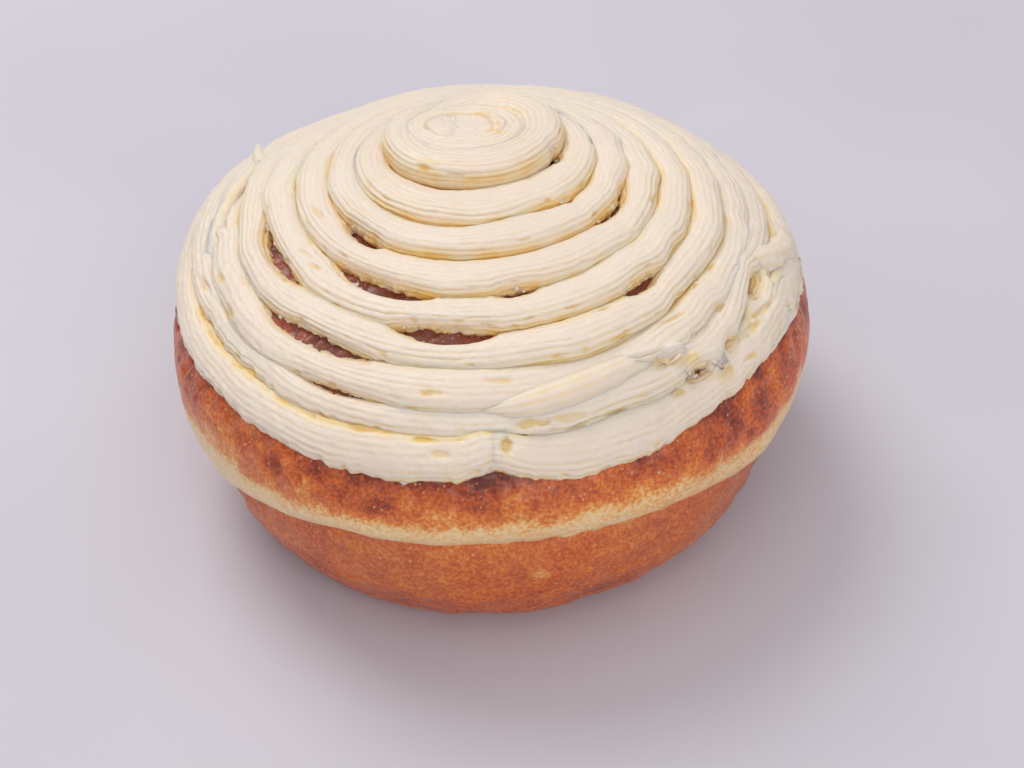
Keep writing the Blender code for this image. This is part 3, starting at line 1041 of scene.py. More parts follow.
@dataclass(frozen=True)
class Strand:
    """A loose strand of frosting, given by spots on the dome and its half-thickness at each."""

    name: str
    spots: tuple[tuple[float, float, float], ...]
    radii: tuple[float, ...]
    flatness: float = 0.85
    ridges: int = 9
    ridge_depth: float = 0.3
    tear: float = 0.1
    seed: int = 0
    columns: int = 44
    step: float = 0.45
    farthest: float = 65.4
    steepest: float = 64.0

    def rings(self, dome: Dome, eye_back: float) -> tuple[np.ndarray, np.ndarray]:
        """Points round the strand along its length.

        Args:
            dome: The dome that the spots lie over.
            eye_back: How far behind the middle the swirl's eye lies.

        Returns:
            Points as rings by columns by x, y, z, and the painted shade of each one, in the grooves and on
            the underside.
        """
        spots = np.array(self.spots)
        azimuth = np.radians(FRONT - spots[:, 0])
        plan = np.stack(
            [spots[:, 1] * np.cos(azimuth), eye_back + spots[:, 1] * np.sin(azimuth)], -1
        )
        plan = plan * np.minimum(1, self.farthest / np.linalg.norm(plan, axis=1))[:, None]
        knots = dome.point(plan) + dome.normal(plan) * spots[:, 2:]
        rough_length = np.linalg.norm(np.diff(knots, axis=0), axis=1).sum()
        rows = max(int(rough_length / self.step), 12)
        places = np.linspace(0, len(knots) - 1, rows)
        path = np.stack([smooth_between(tuple(knots[:, axis]), places) for axis in range(3)], -1)
        radius = smooth_between(self.radii, places)
        ends = np.minimum(places, len(knots) - 1 - places) * rough_length / (len(knots) - 1)
        near = np.clip(ends / np.maximum(radius, 0.3), 0.0, 1.0)
        radius = radius * np.sqrt(np.clip(1 - (1 - near) ** 2, 0.0, 1.0))
        onward = unit(np.gradient(path, axis=0))
        within = np.minimum(1, self.steepest / np.hypot(*path[:, :2].T))
        above = dome.normal(path[:, :2] * within[:, None])
        side = unit(np.cross(onward, above))
        up = unit(np.cross(side, onward))
        turn = np.linspace(0, 2 * np.pi, self.columns, endpoint=False)
        run = np.linspace(0, rough_length, rows)
        drift = 0.5 * Grain(70 + self.seed).at(along(run, 7), 14.0)
        crest = np.abs(np.cos(turn[None, :] * self.ridges / 2 + drift[:, None])) ** 0.8
        level = 0.7 + 0.5 * Grain(71 + self.seed).at(along(run, 8), 9.0)
        cut = self.ridge_depth * level[:, None] * (1 - crest)
        size = np.maximum(radius[:, None] - cut * np.minimum(radius[:, None] / 2.0, 1.0), 0.02)
        ring = (
            path[:, None, :]
            + side[:, None, :] * (size * np.cos(turn))[..., None]
            + up[:, None, :] * (size * self.flatness * np.sin(turn))[..., None]
        )
        crumb = Grain(81).at(ring, 1.4) + Grain(82).at(ring, 3.1) + 0.6 * Grain(83).at(ring, 0.7)
        crumb = self.tear * crumb
        away = unit(ring - path[:, None, :])
        ring = ring + away * (crumb * np.minimum(radius[:, None] / 1.5, 1.0))[..., None]
        # Painted shade on the strand's underside and in its grooves.
        below = ramp(-np.sin(turn), -0.2, 0.6)[None, :]
        return ring, np.clip(0.5 * (1 - crest) * (self.ridge_depth > 0.1) + 0.6 * below, 0.0, 1.0)


@dataclass(frozen=True)
class Fray:
    """A bundle of thin strands side by side, where a rope has come apart."""

    name: str
    spots: tuple[tuple[float, float, float], ...]
    count: int
    spread: float
    radius: float
    seed: int

    def strands(self) -> list[Strand]:
        """Lays the bundle's strands beside its middle line.

        Returns:
            The strands, each a little shorter or longer than the next.
        """
        draw = np.random.default_rng(self.seed)
        laid: list[Strand] = []
        for number in range(self.count):
            aside = (number / max(self.count - 1, 1) - 0.5) * self.spread
            shift = draw.uniform(-1.6, 1.6)
            spots = tuple(
                (
                    degrees + shift,
                    reach + aside + draw.uniform(-0.35, 0.35),
                    lift + draw.uniform(-0.3, 0.3),
                )
                for degrees, reach, lift in self.spots
            )
            thick = self.radius * draw.uniform(0.75, 1.2)
            radii = tuple([thick * 0.6] + [thick] * (len(spots) - 2) + [thick * 0.5])
            laid.append(
                Strand(
                    f"{self.name}_{number}", spots, radii, ridges=4, ridge_depth=0.12, tear=0.16,
                    seed=self.seed + number, columns=20, step=0.5,
                )
            )
        return laid


@dataclass(frozen=True)
class Crumbs:
    """Torn specks of frosting along the furrows and round the slits."""

    count: int = 420
    smallest: float = 0.16
    largest: float = 0.55
    rows: int = 6
    columns: int = 9
    seed: int = 23

    def rings(self, seats: np.ndarray) -> list[tuple[np.ndarray, np.ndarray]]:
        """Sets specks on some of the seats.

        Args:
            seats: Points on the ropes where a speck may sit.

        Returns:
            Rings of points and furrow shares for each speck.
        """
        draw = np.random.default_rng(self.seed)
        chosen = seats[draw.integers(0, len(seats), self.count)]
        latitude = np.radians(np.linspace(-72, 72, self.rows))[:, None]
        longitude = np.linspace(0, 2 * np.pi, self.columns, endpoint=False)[None, :]
        ball = np.stack(
            [
                np.cos(latitude) * np.cos(longitude),
                np.cos(latitude) * np.sin(longitude),
                np.sin(latitude) * np.ones_like(longitude),
            ],
            -1,
        )
        made: list[tuple[np.ndarray, np.ndarray]] = []
        for seat in chosen:
            size = self.smallest + (self.largest - self.smallest) * draw.random() ** 2.6
            stretched = ball * size * draw.uniform(0.6, 1.35, 3)
            dented = stretched * (1 + 0.35 * Grain(141).at(ball * 1.3 + seat, 0.9))[..., None]
            mark = np.full(ball.shape[:2], draw.uniform(0.0, 0.35))
            made.append((dented + seat, mark))
        return made


@dataclass(frozen=True)
class CreamFinish:
    """Soft matt cream, with painted shade that turns it yellower deep in a furrow."""

    name: str = "cream_cheese_frosting"
    cream: tuple[int, int, int] = (247, 230, 214)
    half_shade: tuple[int, int, int] = (245, 221, 176)
    shade: tuple[int, int, int] = (243, 202, 120)
    roughness: float = 0.42
    veil: tuple[int, int, int] = (240, 219, 204)

    def material(self) -> bpy.types.Material:
        """Builds the frosting's material.

        Returns:
            The new material.
        """
        wet = NodeSheet(self.name)
        place = wet.place()
        # Painted shade, laid on as yellow from the furrow mark and broken up by noise.
        deep = wet.mark("furrow")
        patch = wet.noise(place, 190.0, 3.0)
        fine = wet.noise(place, 900.0, 4.0)
        stirred = wet.math("MULTIPLY", deep, wet.remap(patch, 0.3, 0.72, 0.35, 1.25))
        tone = wet.ramp(
            stirred,
            ((0.0, srgb(*self.cream)), (0.42, srgb(*self.half_shade)), (0.95, srgb(*self.shade))),
        )
        wide = wet.noise(place, 45.0, 2.0)
        tint = wet.mix(wet.remap(wide, 0.35, 0.7, 0.0, 0.25), tone, srgb(*self.veil))
        wet.connect(tint, "Base Color")
        dull = wet.remap(fine, 0.3, 0.7, self.roughness - 0.06, self.roughness + 0.12)
        wet.connect(dull, "Roughness")
        wet.soften(weight=0.45, reach=2.2, radius=(1.0, 0.72, 0.42), shine=0.42)
        coarse, finest = wet.noise(place, 620.0, 4.0), wet.noise(place, 2600.0, 3.0)
        wet.bump(((coarse, 0.2), (fine, 0.16), (finest, 0.08)))
        return wet.material


@dataclass(frozen=True)
class CrustFinish:
    """Baked crust, from the pale waist to the dark brown under the rim, which is partly painted shadow,
    with pale specks that are partly painted glints.
    """

    name: str = "baked_crust"
    tones: tuple[tuple[float, tuple[int, int, int]], ...] = (
        (0.00, (255, 224, 172)),
        (0.16, (252, 204, 136)),
        (0.32, (240, 152, 64)),
        (0.48, (225, 114, 42)),
        (0.64, (200, 90, 36)),
        (0.80, (158, 62, 28)),
        (1.00, (104, 40, 24)),
    )
    dull: tuple[int, int, int] = (172, 104, 84)
    # Pale specks: partly pale grains of the crust, partly painted glints of its gloss.
    speck: tuple[int, int, int] = (236, 186, 138)

    def material(self) -> bpy.types.Material:
        """Builds the crust's material.

        Returns:
            The new material.
        """
        sheet = NodeSheet(self.name)
        place = sheet.place()
        baked = sheet.mark("baked")
        fine = sheet.noise(place, 1300.0, 6.0)
        middle = sheet.noise(place, 230.0, 4.0)
        mottled = sheet.math("ADD", baked, sheet.remap(fine, 0.3, 0.7, -0.13, 0.13))
        mottled = sheet.math("ADD", mottled, sheet.remap(middle, 0.3, 0.7, -0.05, 0.05))
        tone = sheet.ramp(mottled, tuple((stop, srgb(*colour)) for stop, colour in self.tones))
        # The dull mark also carries painted shade under the swirl.
        tone = sheet.mix(sheet.math("MULTIPLY", sheet.mark("dull"), 0.6), tone, srgb(*self.dull))
        # Pale specks: partly pale grains of the crust, partly painted glints of its gloss.
        specks = sheet.specks(place, 760.0, 0.16, 0.24)
        held = sheet.math("MULTIPLY", specks, sheet.remap(middle, 0.45, 0.65, 0.0, 0.7))
        tone = sheet.mix(held, tone, srgb(*self.speck))
        sheet.connect(tone, "Base Color")
        sheet.connect(sheet.remap(middle, 0.3, 0.7, 0.36, 0.56), "Roughness")
        sheet.soften(weight=0.12, reach=1.2, radius=(1.0, 0.45, 0.2), shine=0.45)
        sheet.set("Coat Weight", 0.4)
        sheet.set("Coat Roughness", 0.2)
        sheet.bump(((sheet.noise(place, 520.0, 5.0), 0.5), (fine, 0.3)))
        return sheet.material


@dataclass(frozen=True)
class FloorFinish:
    """Plain pale floor."""

    name: str = "pale_floor"
    colour: tuple[int, int, int] = (214, 210, 220)
    shade: int = 5

    def material(self) -> bpy.types.Material:
        """Builds the floor's material.

        Returns:
            The new material.
        """
        sheet = NodeSheet(self.name)
        soft = sheet.noise(sheet.place(), 9.0, 2.0)
        darker = sheet.colour(srgb(*(channel - self.shade for channel in self.colour)))
        tone = sheet.mix(sheet.remap(soft, 0.3, 0.7, 0.0, 1.0), darker, srgb(*self.colour))
        sheet.connect(tone, "Base Color")
        sheet.set("Roughness", 0.7)
        return sheet.material


class NodeSheet:
    """A material under construction, with one method for each kind of node it takes."""

    def __init__(self, name: str) -> None:
        """Starts an empty material.

        Args:
            name: The material's name.
        """
        self.material = bpy.data.materials.new(name)
        self.material.use_nodes = True
        self.nodes = self.material.node_tree.nodes
        self.links = self.material.node_tree.links
        self.shader = self.nodes["Principled BSDF"]

    def place(self) -> bpy.types.NodeSocket:
        """Where on the piece the point lies, in metres."""
        return self.nodes.new("ShaderNodeTexCoord").outputs["Object"]

    def mark(self, name: str) -> bpy.types.NodeSocket:
        """A named share that the mesh holds at each point.

        Args:
            name: The mesh attribute's name.

        Returns:
            Its value as a socket.
        """
        node = self.nodes.new("ShaderNodeAttribute")
        node.attribute_name = name
        return node.outputs["Fac"]

    def colour(self, value: tuple[float, float, float, float]) -> bpy.types.NodeSocket:
        """One colour as a socket.

        Args:
            value: Linear red, green, blue and alpha.

        Returns:
            The socket that gives it.
        """
        node = self.nodes.new("ShaderNodeRGB")
        node.outputs[0].default_value = value
        return node.outputs[0]

    def noise(self, place: bpy.types.NodeSocket, scale: float, detail: float) -> bpy.types.NodeSocket:
        """Soft noise.

        Args:
            place: Where on the piece the point lies.
            scale: Waves a metre.
            detail: How many finer layers it has.

        Returns:
            Its value, mostly from 0.3 to 0.7.
        """
        node = self.nodes.new("ShaderNodeTexNoise")
        node.inputs["Scale"].default_value = scale
        node.inputs["Detail"].default_value = detail
        self.links.new(place, node.inputs["Vector"])
        return node.outputs["Fac"]

    def specks(
        self, place: bpy.types.NodeSocket, scale: float, core: float, edge: float
    ) -> bpy.types.NodeSocket:
        """Small round specks.

        Args:
            place: Where on the piece the point lies.
            scale: Cells a metre.
            core: Radius of a speck's solid middle, as a share of a cell.
            edge: Radius at which it has faded.

        Returns:
            1 in a speck and 0 outside it.
        """
        node = self.nodes.new("ShaderNodeTexVoronoi")
        node.inputs["Scale"].default_value = scale
        self.links.new(place, node.inputs["Vector"])
        return self.remap(node.outputs["Distance"], core, edge, 1.0, 0.0)

    def remap(
        self, value: bpy.types.NodeSocket, low: float, high: float, to_low: float, to_high: float
    ) -> bpy.types.NodeSocket:
        """Stretches one range of values to another and holds it there.

        Args:
            value: What to stretch.
            low: Start of its range.
            high: End of its range.
            to_low: What the start becomes.
            to_high: What the end becomes.

        Returns:
            The stretched value.
        """
        node = self.nodes.new("ShaderNodeMapRange")
        node.interpolation_type = "SMOOTHSTEP"
        for name, number in (
            ("From Min", low), ("From Max", high), ("To Min", to_low), ("To Max", to_high),
        ):
            node.inputs[name].default_value = number
        self.links.new(value, node.inputs["Value"])
        return node.outputs["Result"]

    def math(
        self, kind: str, first: bpy.types.NodeSocket, second: bpy.types.NodeSocket | float
    ) -> bpy.types.NodeSocket:
        """Adds or multiplies two values.

        Args:
            kind: Blender's name for the sum.
            first: The first value.
            second: The second value, a socket or a number.

        Returns:
            The result.
        """
        node = self.nodes.new("ShaderNodeMath")
        node.operation = kind
        self.links.new(first, node.inputs[0])
        if isinstance(second, float):
            node.inputs[1].default_value = second
        else:
            self.links.new(second, node.inputs[1])
        return node.outputs[0]

    def ramp(
        self,
        value: bpy.types.NodeSocket,
        stops: tuple[tuple[float, tuple[float, float, float, float]], ...],
    ) -> bpy.types.NodeSocket:
        """Turns a value into a colour by way of stops.

        Args:
            value: From 0 to 1.
            stops: Places and their colours.

        Returns:
            The colour.
        """
        node = self.nodes.new("ShaderNodeValToRGB")
        held = node.color_ramp.elements
        while len(held) < len(stops):
            held.new(0.5)
        for element, (position, colour) in zip(held, stops):
            element.position = position
            element.color = colour
        self.links.new(value, node.inputs["Fac"])
        return node.outputs["Color"]

    def mix(
        self,
        share: bpy.types.NodeSocket,
        under: bpy.types.NodeSocket,
        over: tuple[float, float, float, float],
    ) -> bpy.types.NodeSocket:
        """Lays one colour over another.

        Args:
            share: How much of the upper colour shows.
            under: The lower colour.
            over: The upper colour.

        Returns:
            The mixed colour.
        """
        node = self.nodes.new("ShaderNodeMix")
        node.data_type = "RGBA"
        self.links.new(share, node.inputs["Factor"])
        self.links.new(under, node.inputs[MIX_UNDER])
        node.inputs[MIX_OVER].default_value = over
        return node.outputs[MIX_COLOUR]

    def bump(self, layers: tuple[tuple[bpy.types.NodeSocket, float], ...]) -> None:
        """Raises fine relief in the shading.

        Args:
            layers: Noise values and how high each stands, in mm.
        """
        last = None
        for value, height in layers:
            node = self.nodes.new("ShaderNodeBump")
            node.inputs["Strength"].default_value = 1.0
            node.inputs["Distance"].default_value = height * MM
            self.links.new(value, node.inputs["Height"])
            if last is not None:
                self.links.new(last, node.inputs["Normal"])
            last = node.outputs["Normal"]
        if last is not None:
            self.links.new(last, self.shader.inputs["Normal"])

    def soften(
        self, weight: float, reach: float, radius: tuple[float, float, float], shine: float
    ) -> None:
        """Lets light into the surface and sets how it shines.

        Args:
            weight: Share of the light that goes in.
            reach: How far it spreads, in mm.
            radius: Shares of that for red, green and blue.
            shine: Strength of the mirror-like share.
        """
        self.set("Subsurface Weight", weight)
        self.set("Subsurface Scale", reach * MM)
        self.set("Subsurface Radius", radius)
        self.set("Specular IOR Level", shine)

    def connect(self, value: bpy.types.NodeSocket, name: str) -> None:
        """Feeds a value to the shader's socket of this name."""
        self.links.new(value, self.shader.inputs[name])

    def set(self, name: str, value: float | tuple[float, ...]) -> None:
        """Sets the shader's own socket of this name."""
        self.shader.inputs[name].default_value = value


@dataclass
class Frosting:
    """The piped swirl and everything that hangs loose from it."""

    dome: Dome = field(default_factory=Dome)
    spiral: Spiral = field(default_factory=Spiral)
    form: RopeForm = field(default_factory=RopeForm)
    curl: Curl = field(default_factory=Curl)
    crumbs: Crumbs = field(default_factory=Crumbs)
    finish: CreamFinish = field(default_factory=CreamFinish)
    stretches: tuple[Stretch, ...] = (
        Stretch("swirl_coil", 0.03, 3.5, Tip.ROUNDED, Tip.NESTED),
        Stretch("swirl_middle", 3.5, 5.5, Tip.PLAIN, Tip.NESTED),
        Stretch("swirl_shoulder", 5.5, 7.5, Tip.PLAIN, Tip.NESTED),
        Stretch("swirl_rim", 7.5, 9.02, Tip.PLAIN, Tip.TUCKED),
        Stretch("swirl_start", 8.988, 9.46, Tip.ROUNDED, Tip.POINTED),
    )
    dents: tuple[Dent, ...] = (
        Dent(-5.0, 75.0, 3.4, 0.6, 0.8),
        Dent(-10.5, 74.9, 4.2, 0.5, 0.7),
        Dent(-1.6, 78.0, 1.0, 1.1, 1.6),
        Dent(10.0, 76.5, 2.4, 0.6, 0.7),
        Dent(9.5, 70.2, 2.2, 0.6, 0.7),
        Dent(7.5, 78.8, 1.8, 0.5, 0.5),
        Dent(-1.0, 68.0, 2.6, 0.6, 0.5),
        Dent(74.5, 56.0, 2.2, 0.8, 0.9),
        Dent(71.8, 58.7, 2.6, 0.8, 1.0),
        Dent(62.0, 64.5, 2.6, 0.9, 0.9),
        Dent(60.0, 62.0, 1.6, 0.7, 0.8),
        Dent(54.5, 59.2, 1.6, 0.7, 0.7),
        Dent(52.0, 65.0, 2.0, 0.7, 0.7),
        Dent(41.5, 50.5, 1.6, 0.5, 0.7),
        Dent(46.5, 49.0, 2.0, 0.5, 0.6),
        Dent(55.0, 40.5, 2.2, 0.6, 0.8),
        Dent(-43.5, 65.2, 1.4, 0.6, 0.8),
        Dent(-43.0, 59.5, 0.9, 0.5, 0.6),
        Dent(-49.5, 58.2, 1.6, 0.5, 0.6),
        Dent(-22.5, 57.8, 1.5, 0.6, 0.7),
        Dent(-19.0, 67.5, 2.2, 0.6, 0.6),
        Dent(-28.5, 74.0, 1.6, 0.7, 0.9),
        Dent(-43.0, 73.6, 2.4, 0.4, 0.5),
        Dent(-51.5, 69.2, 5.0, 0.7, 0.8),
        Dent(-46.5, 70.4, 4.0, 0.7, 0.9),
        Dent(-57.5, 71.2, 0.9, 0.9, 1.2),
        Dent(-62.0, 71.4, 0.8, 0.8, 1.2),
        Dent(-60.5, 66.6, 2.8, 1.2, 1.5),
        Dent(-34.0, 63.5, 3.0, 0.6, 0.6),
        Dent(-12.0, 70.0, 3.0, 0.5, 0.5),
    )
    mounds: tuple[Mound, ...] = (
        Mound(
            (
                (-20.5, 66.4, -3, 0.8, 0.8), (-22.3, 66.8, 0.9, 1.6, 1.4), (-25.6, 67.4, 1.3, 1.8, 1.5),
                (-27.3, 67.7, 0.6, 1.4, 1.1), (-29.2, 68.0, 1.4, 1.9, 1.6), (-32, 68.6, 1.1, 1.7, 1.4),
                (-34.8, 69.2, -3, 0.8, 0.8),
            ),
            roughness=0.5,
        ),
        Mound(
            (
                (-34.6, 71.8, -3, 1.0, 1.6), (-36.0, 71.6, 0.2, 2.2, 2.4), (-38.2, 71.2, 0.3, 2.2, 2.4),
                (-40.0, 71.0, -3, 1.0, 1.6),
            ),
            roughness=0.5,
        ),
        Mound(
            (
                (-55, 70.8, -3, 1.4, 2.0), (-59, 69.8, 0.5, 3.0, 3.4), (-66, 68.4, 1.0, 3.4, 3.6),
                (-73, 66.6, 0.6, 3.2, 3.2), (-80, 65.0, -3, 1.4, 2.0),
            ),
            roughness=0.6,
        ),
    )
    strands: tuple[Strand, ...] = (
        Strand(
            "tail",
            (
                (2.4, 72.6, -1.2), (0, 72.4, -1.0), (-4.5, 72.1, -1.0), (-10, 71.3, -1.1),
                (-16, 70.1, -1.3), (-23, 68.8, -1.7), (-30, 67.6, -3.2),
            ),
            (0.25, 1.3, 2.7, 3.2, 3.2, 2.9, 2.2),
            flatness=0.82,
            ridges=11,
            ridge_depth=0.16,
            tear=0.06,
        ),
        Strand(
            "fold",
            (
                (-82, 63.2, -2.6), (-76, 64.4, -1.7), (-70, 65.0, -1.0), (-64.5, 64.4, -0.9),
                (-60.5, 63.0, -1.5), (-58.5, 61.8, -2.8),
            ),
            (2.4, 3.1, 3.4, 3.2, 2.8, 2.0),
            ridge_depth=0.3,
            tear=0.2,
            seed=3,
        ),
        Strand(
            "bridge", ((-38.4, 69.4, -2.2), (-37.0, 71.0, -1.4), (-35.8, 73.4, -1.8)), (1.4, 1.7, 1.3),
            ridges=5, ridge_depth=0.2, tear=0.4, seed=6,
        ),
        Strand(
            "drip", ((12.8, 77.8, -3.0), (12.8, 79.9, -1.9), (12.6, 81.5, -1.5)), (3.6, 2.5, 0.3),
            ridges=5, ridge_depth=0.1, seed=7,
        ),
        Strand(
            "spike", ((97, 48.8, -2.8), (101, 49.3, -1.0), (106.5, 50.0, 1.7)), (3.2, 2.1, 0.2),
            ridges=5, ridge_depth=0.2, tear=0.2, seed=9,
        ),
    )
    frays: tuple[Fray, ...] = (
        Fray(
            "torn_edge",
            ((-72, 66.6, -1.9), (-67, 67.8, -0.9), (-62, 68.9, -0.5), (-56, 70.4, -0.8), (-49, 72.4, -1.9)),
            6, 3.8, 1.1, 41,
        ),
        Fray(
            "fan",
            ((98, 51.0, -1.9), (88, 54.4, -1.3), (78, 58.8, -1.1), (69, 63.2, -1.3), (60, 67.2, -2.0)),
            4, 7.0, 1.6, 51,
        ),
        Fray(
            "tail_root",
            ((-19, 69.4, -1.6), (-24, 68.7, -1.3), (-29, 68.4, -1.5), (-35, 67.8, -2.2)),
            3, 3.4, 1.2, 61,
        ),
    )

    def build(self) -> list[bpy.types.Object]:
        """Makes every piece of the frosting and dresses it.

        Returns:
            The pieces, which take the place of the hidden CAD node.
        """
        swirl = Swirl(self.dome, self.spiral, self.form, self.dents, self.mounds)
        material = self.finish.material()
        pieces: list[bpy.types.Object] = []
        seats: list[np.ndarray] = []
        for stretch in self.stretches:
            points, marks = swirl.stretch(stretch)
            pieces.append(self.tube(stretch.name, [(points, marks)]))
            seats.append(self.seats(swirl, stretch, points))
        pieces.append(self.tube("swirl_curl", [self.curl.rings(self.dome)]))
        strands = list(self.strands)
        for fray in self.frays:
            strands.extend(fray.strands())
        loose = [strand.rings(self.dome, self.spiral.eye_back) for strand in strands]
        pieces.append(self.tube("swirl_loose_ends", loose))
        pieces.append(self.tube("swirl_crumbs", self.crumbs.rings(np.concatenate(seats))))
        for piece in pieces:
            piece.data.materials.append(material)
            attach(piece, BODY)
        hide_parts("frosting")
        return pieces

    def seats(self, swirl: Swirl, stretch: Stretch, points: np.ndarray) -> np.ndarray:
        """Points on a stretch of rope where torn specks gather.

        Args:
            swirl: The ropes' geometry.
            stretch: Which part of the rope.
            points: The stretch's rings of points.

        Returns:
            Rows of points, more of them round the slits.
        """
        turns = swirl.places(stretch)
        around = self.form.outline()[2]
        lips = points[12:-12, (around > 0.80) & (around < 0.96)].reshape(-1, 3)
        beside_inner = swirl.spiral.slit(turns - 1)[0] > 0.2
        beside_outer = swirl.spiral.slit(turns)[0] > 0.2
        inner_wall = points[beside_inner][:, (around > 0.84) & (around < 1.02)].reshape(-1, 3)
        outer_wall = points[beside_outer][:, around < 0.12].reshape(-1, 3)
        return np.concatenate([lips[::7], inner_wall, outer_wall])

    def tube(self, name: str, parts: list[tuple[np.ndarray, np.ndarray]]) -> bpy.types.Object:
        """Joins rings of points into closed tubes in one piece.

        Args:
            name: The piece's name.
            parts: Rings and yellow shares of each tube, mostly painted shade.

        Returns:
            The piece.
        """
        points: list[np.ndarray] = []
        marks: list[np.ndarray] = []
        faces: list[np.ndarray] = []
        caps: list[list[int]] = []
        first = 0
        for rings, furrow in parts:
            rows, columns = rings.shape[:2]
            flat = rings.reshape(-1, 3)
            quads, ends = closed_tube(flat, columns)
            points.append(flat)
            marks.append(furrow.reshape(-1))
            faces.append(quads + first)
            caps.extend([[first + corner for corner in end] for end in ends])
            first += rows * columns
        # The furrow attribute holds the painted shade.
        return mesh_piece(
            name, np.concatenate(points), np.concatenate(faces), {"furrow": np.concatenate(marks)}, caps
        )


@dataclass(frozen=True)
class Blister:
    """A bubble in the crust, at degrees round the bun and a height in mm."""

    degrees: float
    height: float
    radius: float
    rise: float
    golden: float


@dataclass
class Bun:
    """The baked bun: sizes of its two lobes, and the relief and browning of its crust."""

    foot_radius: float = 48.0
    lower_radius: float = 62.0
    lower_height: float = 19.0
    crease_radius: float = 60.4
    belly_radius: float = 66.8
    belly_height: float = 37.0
    belly_drop: float = 10.0
    top: float = 67.0
    fullness: float = 1.85
    squareness: float = 2.2
    lower_arc: float = 113.0
    upper_arc: float = 75.0
    lump: float = 0.5
    crease_height: float = 27.0
    crease_rise: float = 2.6
    crease_swing: float = 9.2
    crease_width: float = 50.0
    side_tuck: float = 1.3
    tuck_from: float = 24.0
    tuck_to: float = 30.0
    under_swirl: float = 2.1
    pale_top: float = 34.4
    dark_from: float = 46.5
    crust_from: float = 38.5
    crust_to: float = 43.0
    hidden_from: float = 50.5
    hidden_to: float = 54.0
    columns: int = 640
    step: float = 0.62
    coarser: float = 2.2
    coarse_inside: float = 56.0
    coarse_above: float = 45.0
    blisters: tuple[Blister, ...] = (
        Blister(272.5, 42.9, 2.4, 0.9, 0.20),
        Blister(299.0, 41.6, 1.3, 0.6, 0.16),
        Blister(287.0, 44.6, 1.2, 0.5, 0.10),
        Blister(263.0, 41.0, 1.1, 0.4, 0.10),
        Blister(277.0, 19.6, 1.7, 0.3, 0.26),
        Blister(248.0, 44.0, 1.6, 0.7, 0.18),
        Blister(238.0, 43.0, 1.3, 0.6, 0.14),
        Blister(121.0, 42.0, 2.2, 0.8, 0.18),
        Blister(62.0, 39.5, 1.6, 0.6, 0.16),
        Blister(12.0, 43.5, 1.9, 0.7, 0.15),
    )
    finish: CrustFinish = field(default_factory=CrustFinish)

    def profile(self) -> np.ndarray:
        """Radius and height up the bun's side, from the foot's edge to the top.

        Returns:
            Evenly spaced rows of radius and height.
        """
        low = np.radians(np.linspace(-90, self.lower_arc - 90, 200))
        lower = np.stack(
            [
                self.foot_radius + (self.lower_radius - self.foot_radius) * np.cos(low),
                self.lower_height * (1 + np.sin(low)),
            ],
            -1,
        )
        high = np.radians(np.linspace(-self.upper_arc, 0, 80))
        upper = np.stack(
            [
                self.crease_radius + (self.belly_radius - self.crease_radius) * np.cos(high),
                self.belly_height + self.belly_drop * np.sin(high),
            ],
            -1,
        )
        radius = self.belly_radius * np.cos(np.linspace(0, np.pi / 2, 400)[1:])
        inside = np.maximum(1 - (radius / self.belly_radius) ** self.fullness, 0.0)
        height = self.belly_height + (self.top - self.belly_height) * inside ** (1 / self.squareness)
        dome = np.stack([radius, height], -1)
        line = np.concatenate([lower, upper, dome])
        run = np.concatenate([[0], np.cumsum(np.linalg.norm(np.diff(line, axis=0), axis=1))])
        below = line[:, 1] < self.coarse_above
        under_frosting = run[np.argmin(np.abs(line[:, 0] - self.coarse_inside) + 1000 * below)]
        fine = np.arange(0.0, under_frosting, self.step)
        coarse = np.arange(under_frosting, run[-1] - 0.8, self.step * self.coarser)
        places = np.concatenate([fine, coarse])
        return np.stack([np.interp(places, run, line[:, 0]), np.interp(places, run, line[:, 1])], -1)

    def lumps(self, azimuth: np.ndarray, height: np.ndarray) -> np.ndarray:
        """How far the dough strays from round.

        Args:
            azimuth: Directions round the bun in radians.
            height: Heights in mm.

        Returns:
            Shares of the radius.
        """
        metres = height * MM
        wide = np.sin(2 * azimuth + 0.7) + 0.6 * np.sin(3 * azimuth + 2.1)
        fine = 0.5 * np.sin(7 * azimuth + metres * 90) + 0.3 * np.sin(11 * azimuth - metres * 140)
        return self.lump / self.belly_radius * (wide + fine)

    def away(self, azimuth: np.ndarray, degrees: float = FRONT) -> np.ndarray:
        """Degrees round the bun from a direction, the front unless another is given."""
        return signed_degrees(np.degrees(azimuth), degrees)

    def covered(self, height: np.ndarray) -> np.ndarray:
        """Share from 0 to 1 by which the crust lies under the swirl."""
        return ramp(height, self.hidden_from, self.hidden_to)

    def side(self, azimuth: np.ndarray) -> np.ndarray:
        """How far from the front the direction lies, from 0 at the front to 1 at the sides."""
        return 1 - np.exp(-((self.away(azimuth) / self.crease_width) ** 4))

    def sink(self, azimuth: np.ndarray) -> np.ndarray:
        """How many mm lower than its mean height the crease runs."""
        return self.crease_swing * self.side(azimuth) - self.crease_rise

    def zone(self, azimuth: np.ndarray, degrees: float, width: float) -> np.ndarray:
        """Share from 0 to 1 round a direction, so many degrees wide."""
        return bell(self.away(azimuth, degrees), 0.0, width)

    def bubble(self, azimuth: np.ndarray, height: np.ndarray) -> tuple[np.ndarray, np.ndarray]:
        """The blisters' relief and paleness.

        Args:
            azimuth: Directions round the bun in radians.
            height: Heights in mm.

        Returns:
            How far each point is raised in mm, and how much paler it is.
        """
        raised = np.zeros(np.broadcast(azimuth, height).shape)
        pale = np.zeros_like(raised)
        for blister in self.blisters:
            aside = np.radians(self.away(azimuth, blister.degrees)) * self.belly_radius
            distance = np.hypot(aside / 1.35, height - blister.height) / blister.radius
            full = np.exp(-(distance**4))
            raised = raised + blister.rise * (full - 0.35 * bell(distance, 0.0, 0.45))
            pale = pale + blister.golden * full
        return raised, pale

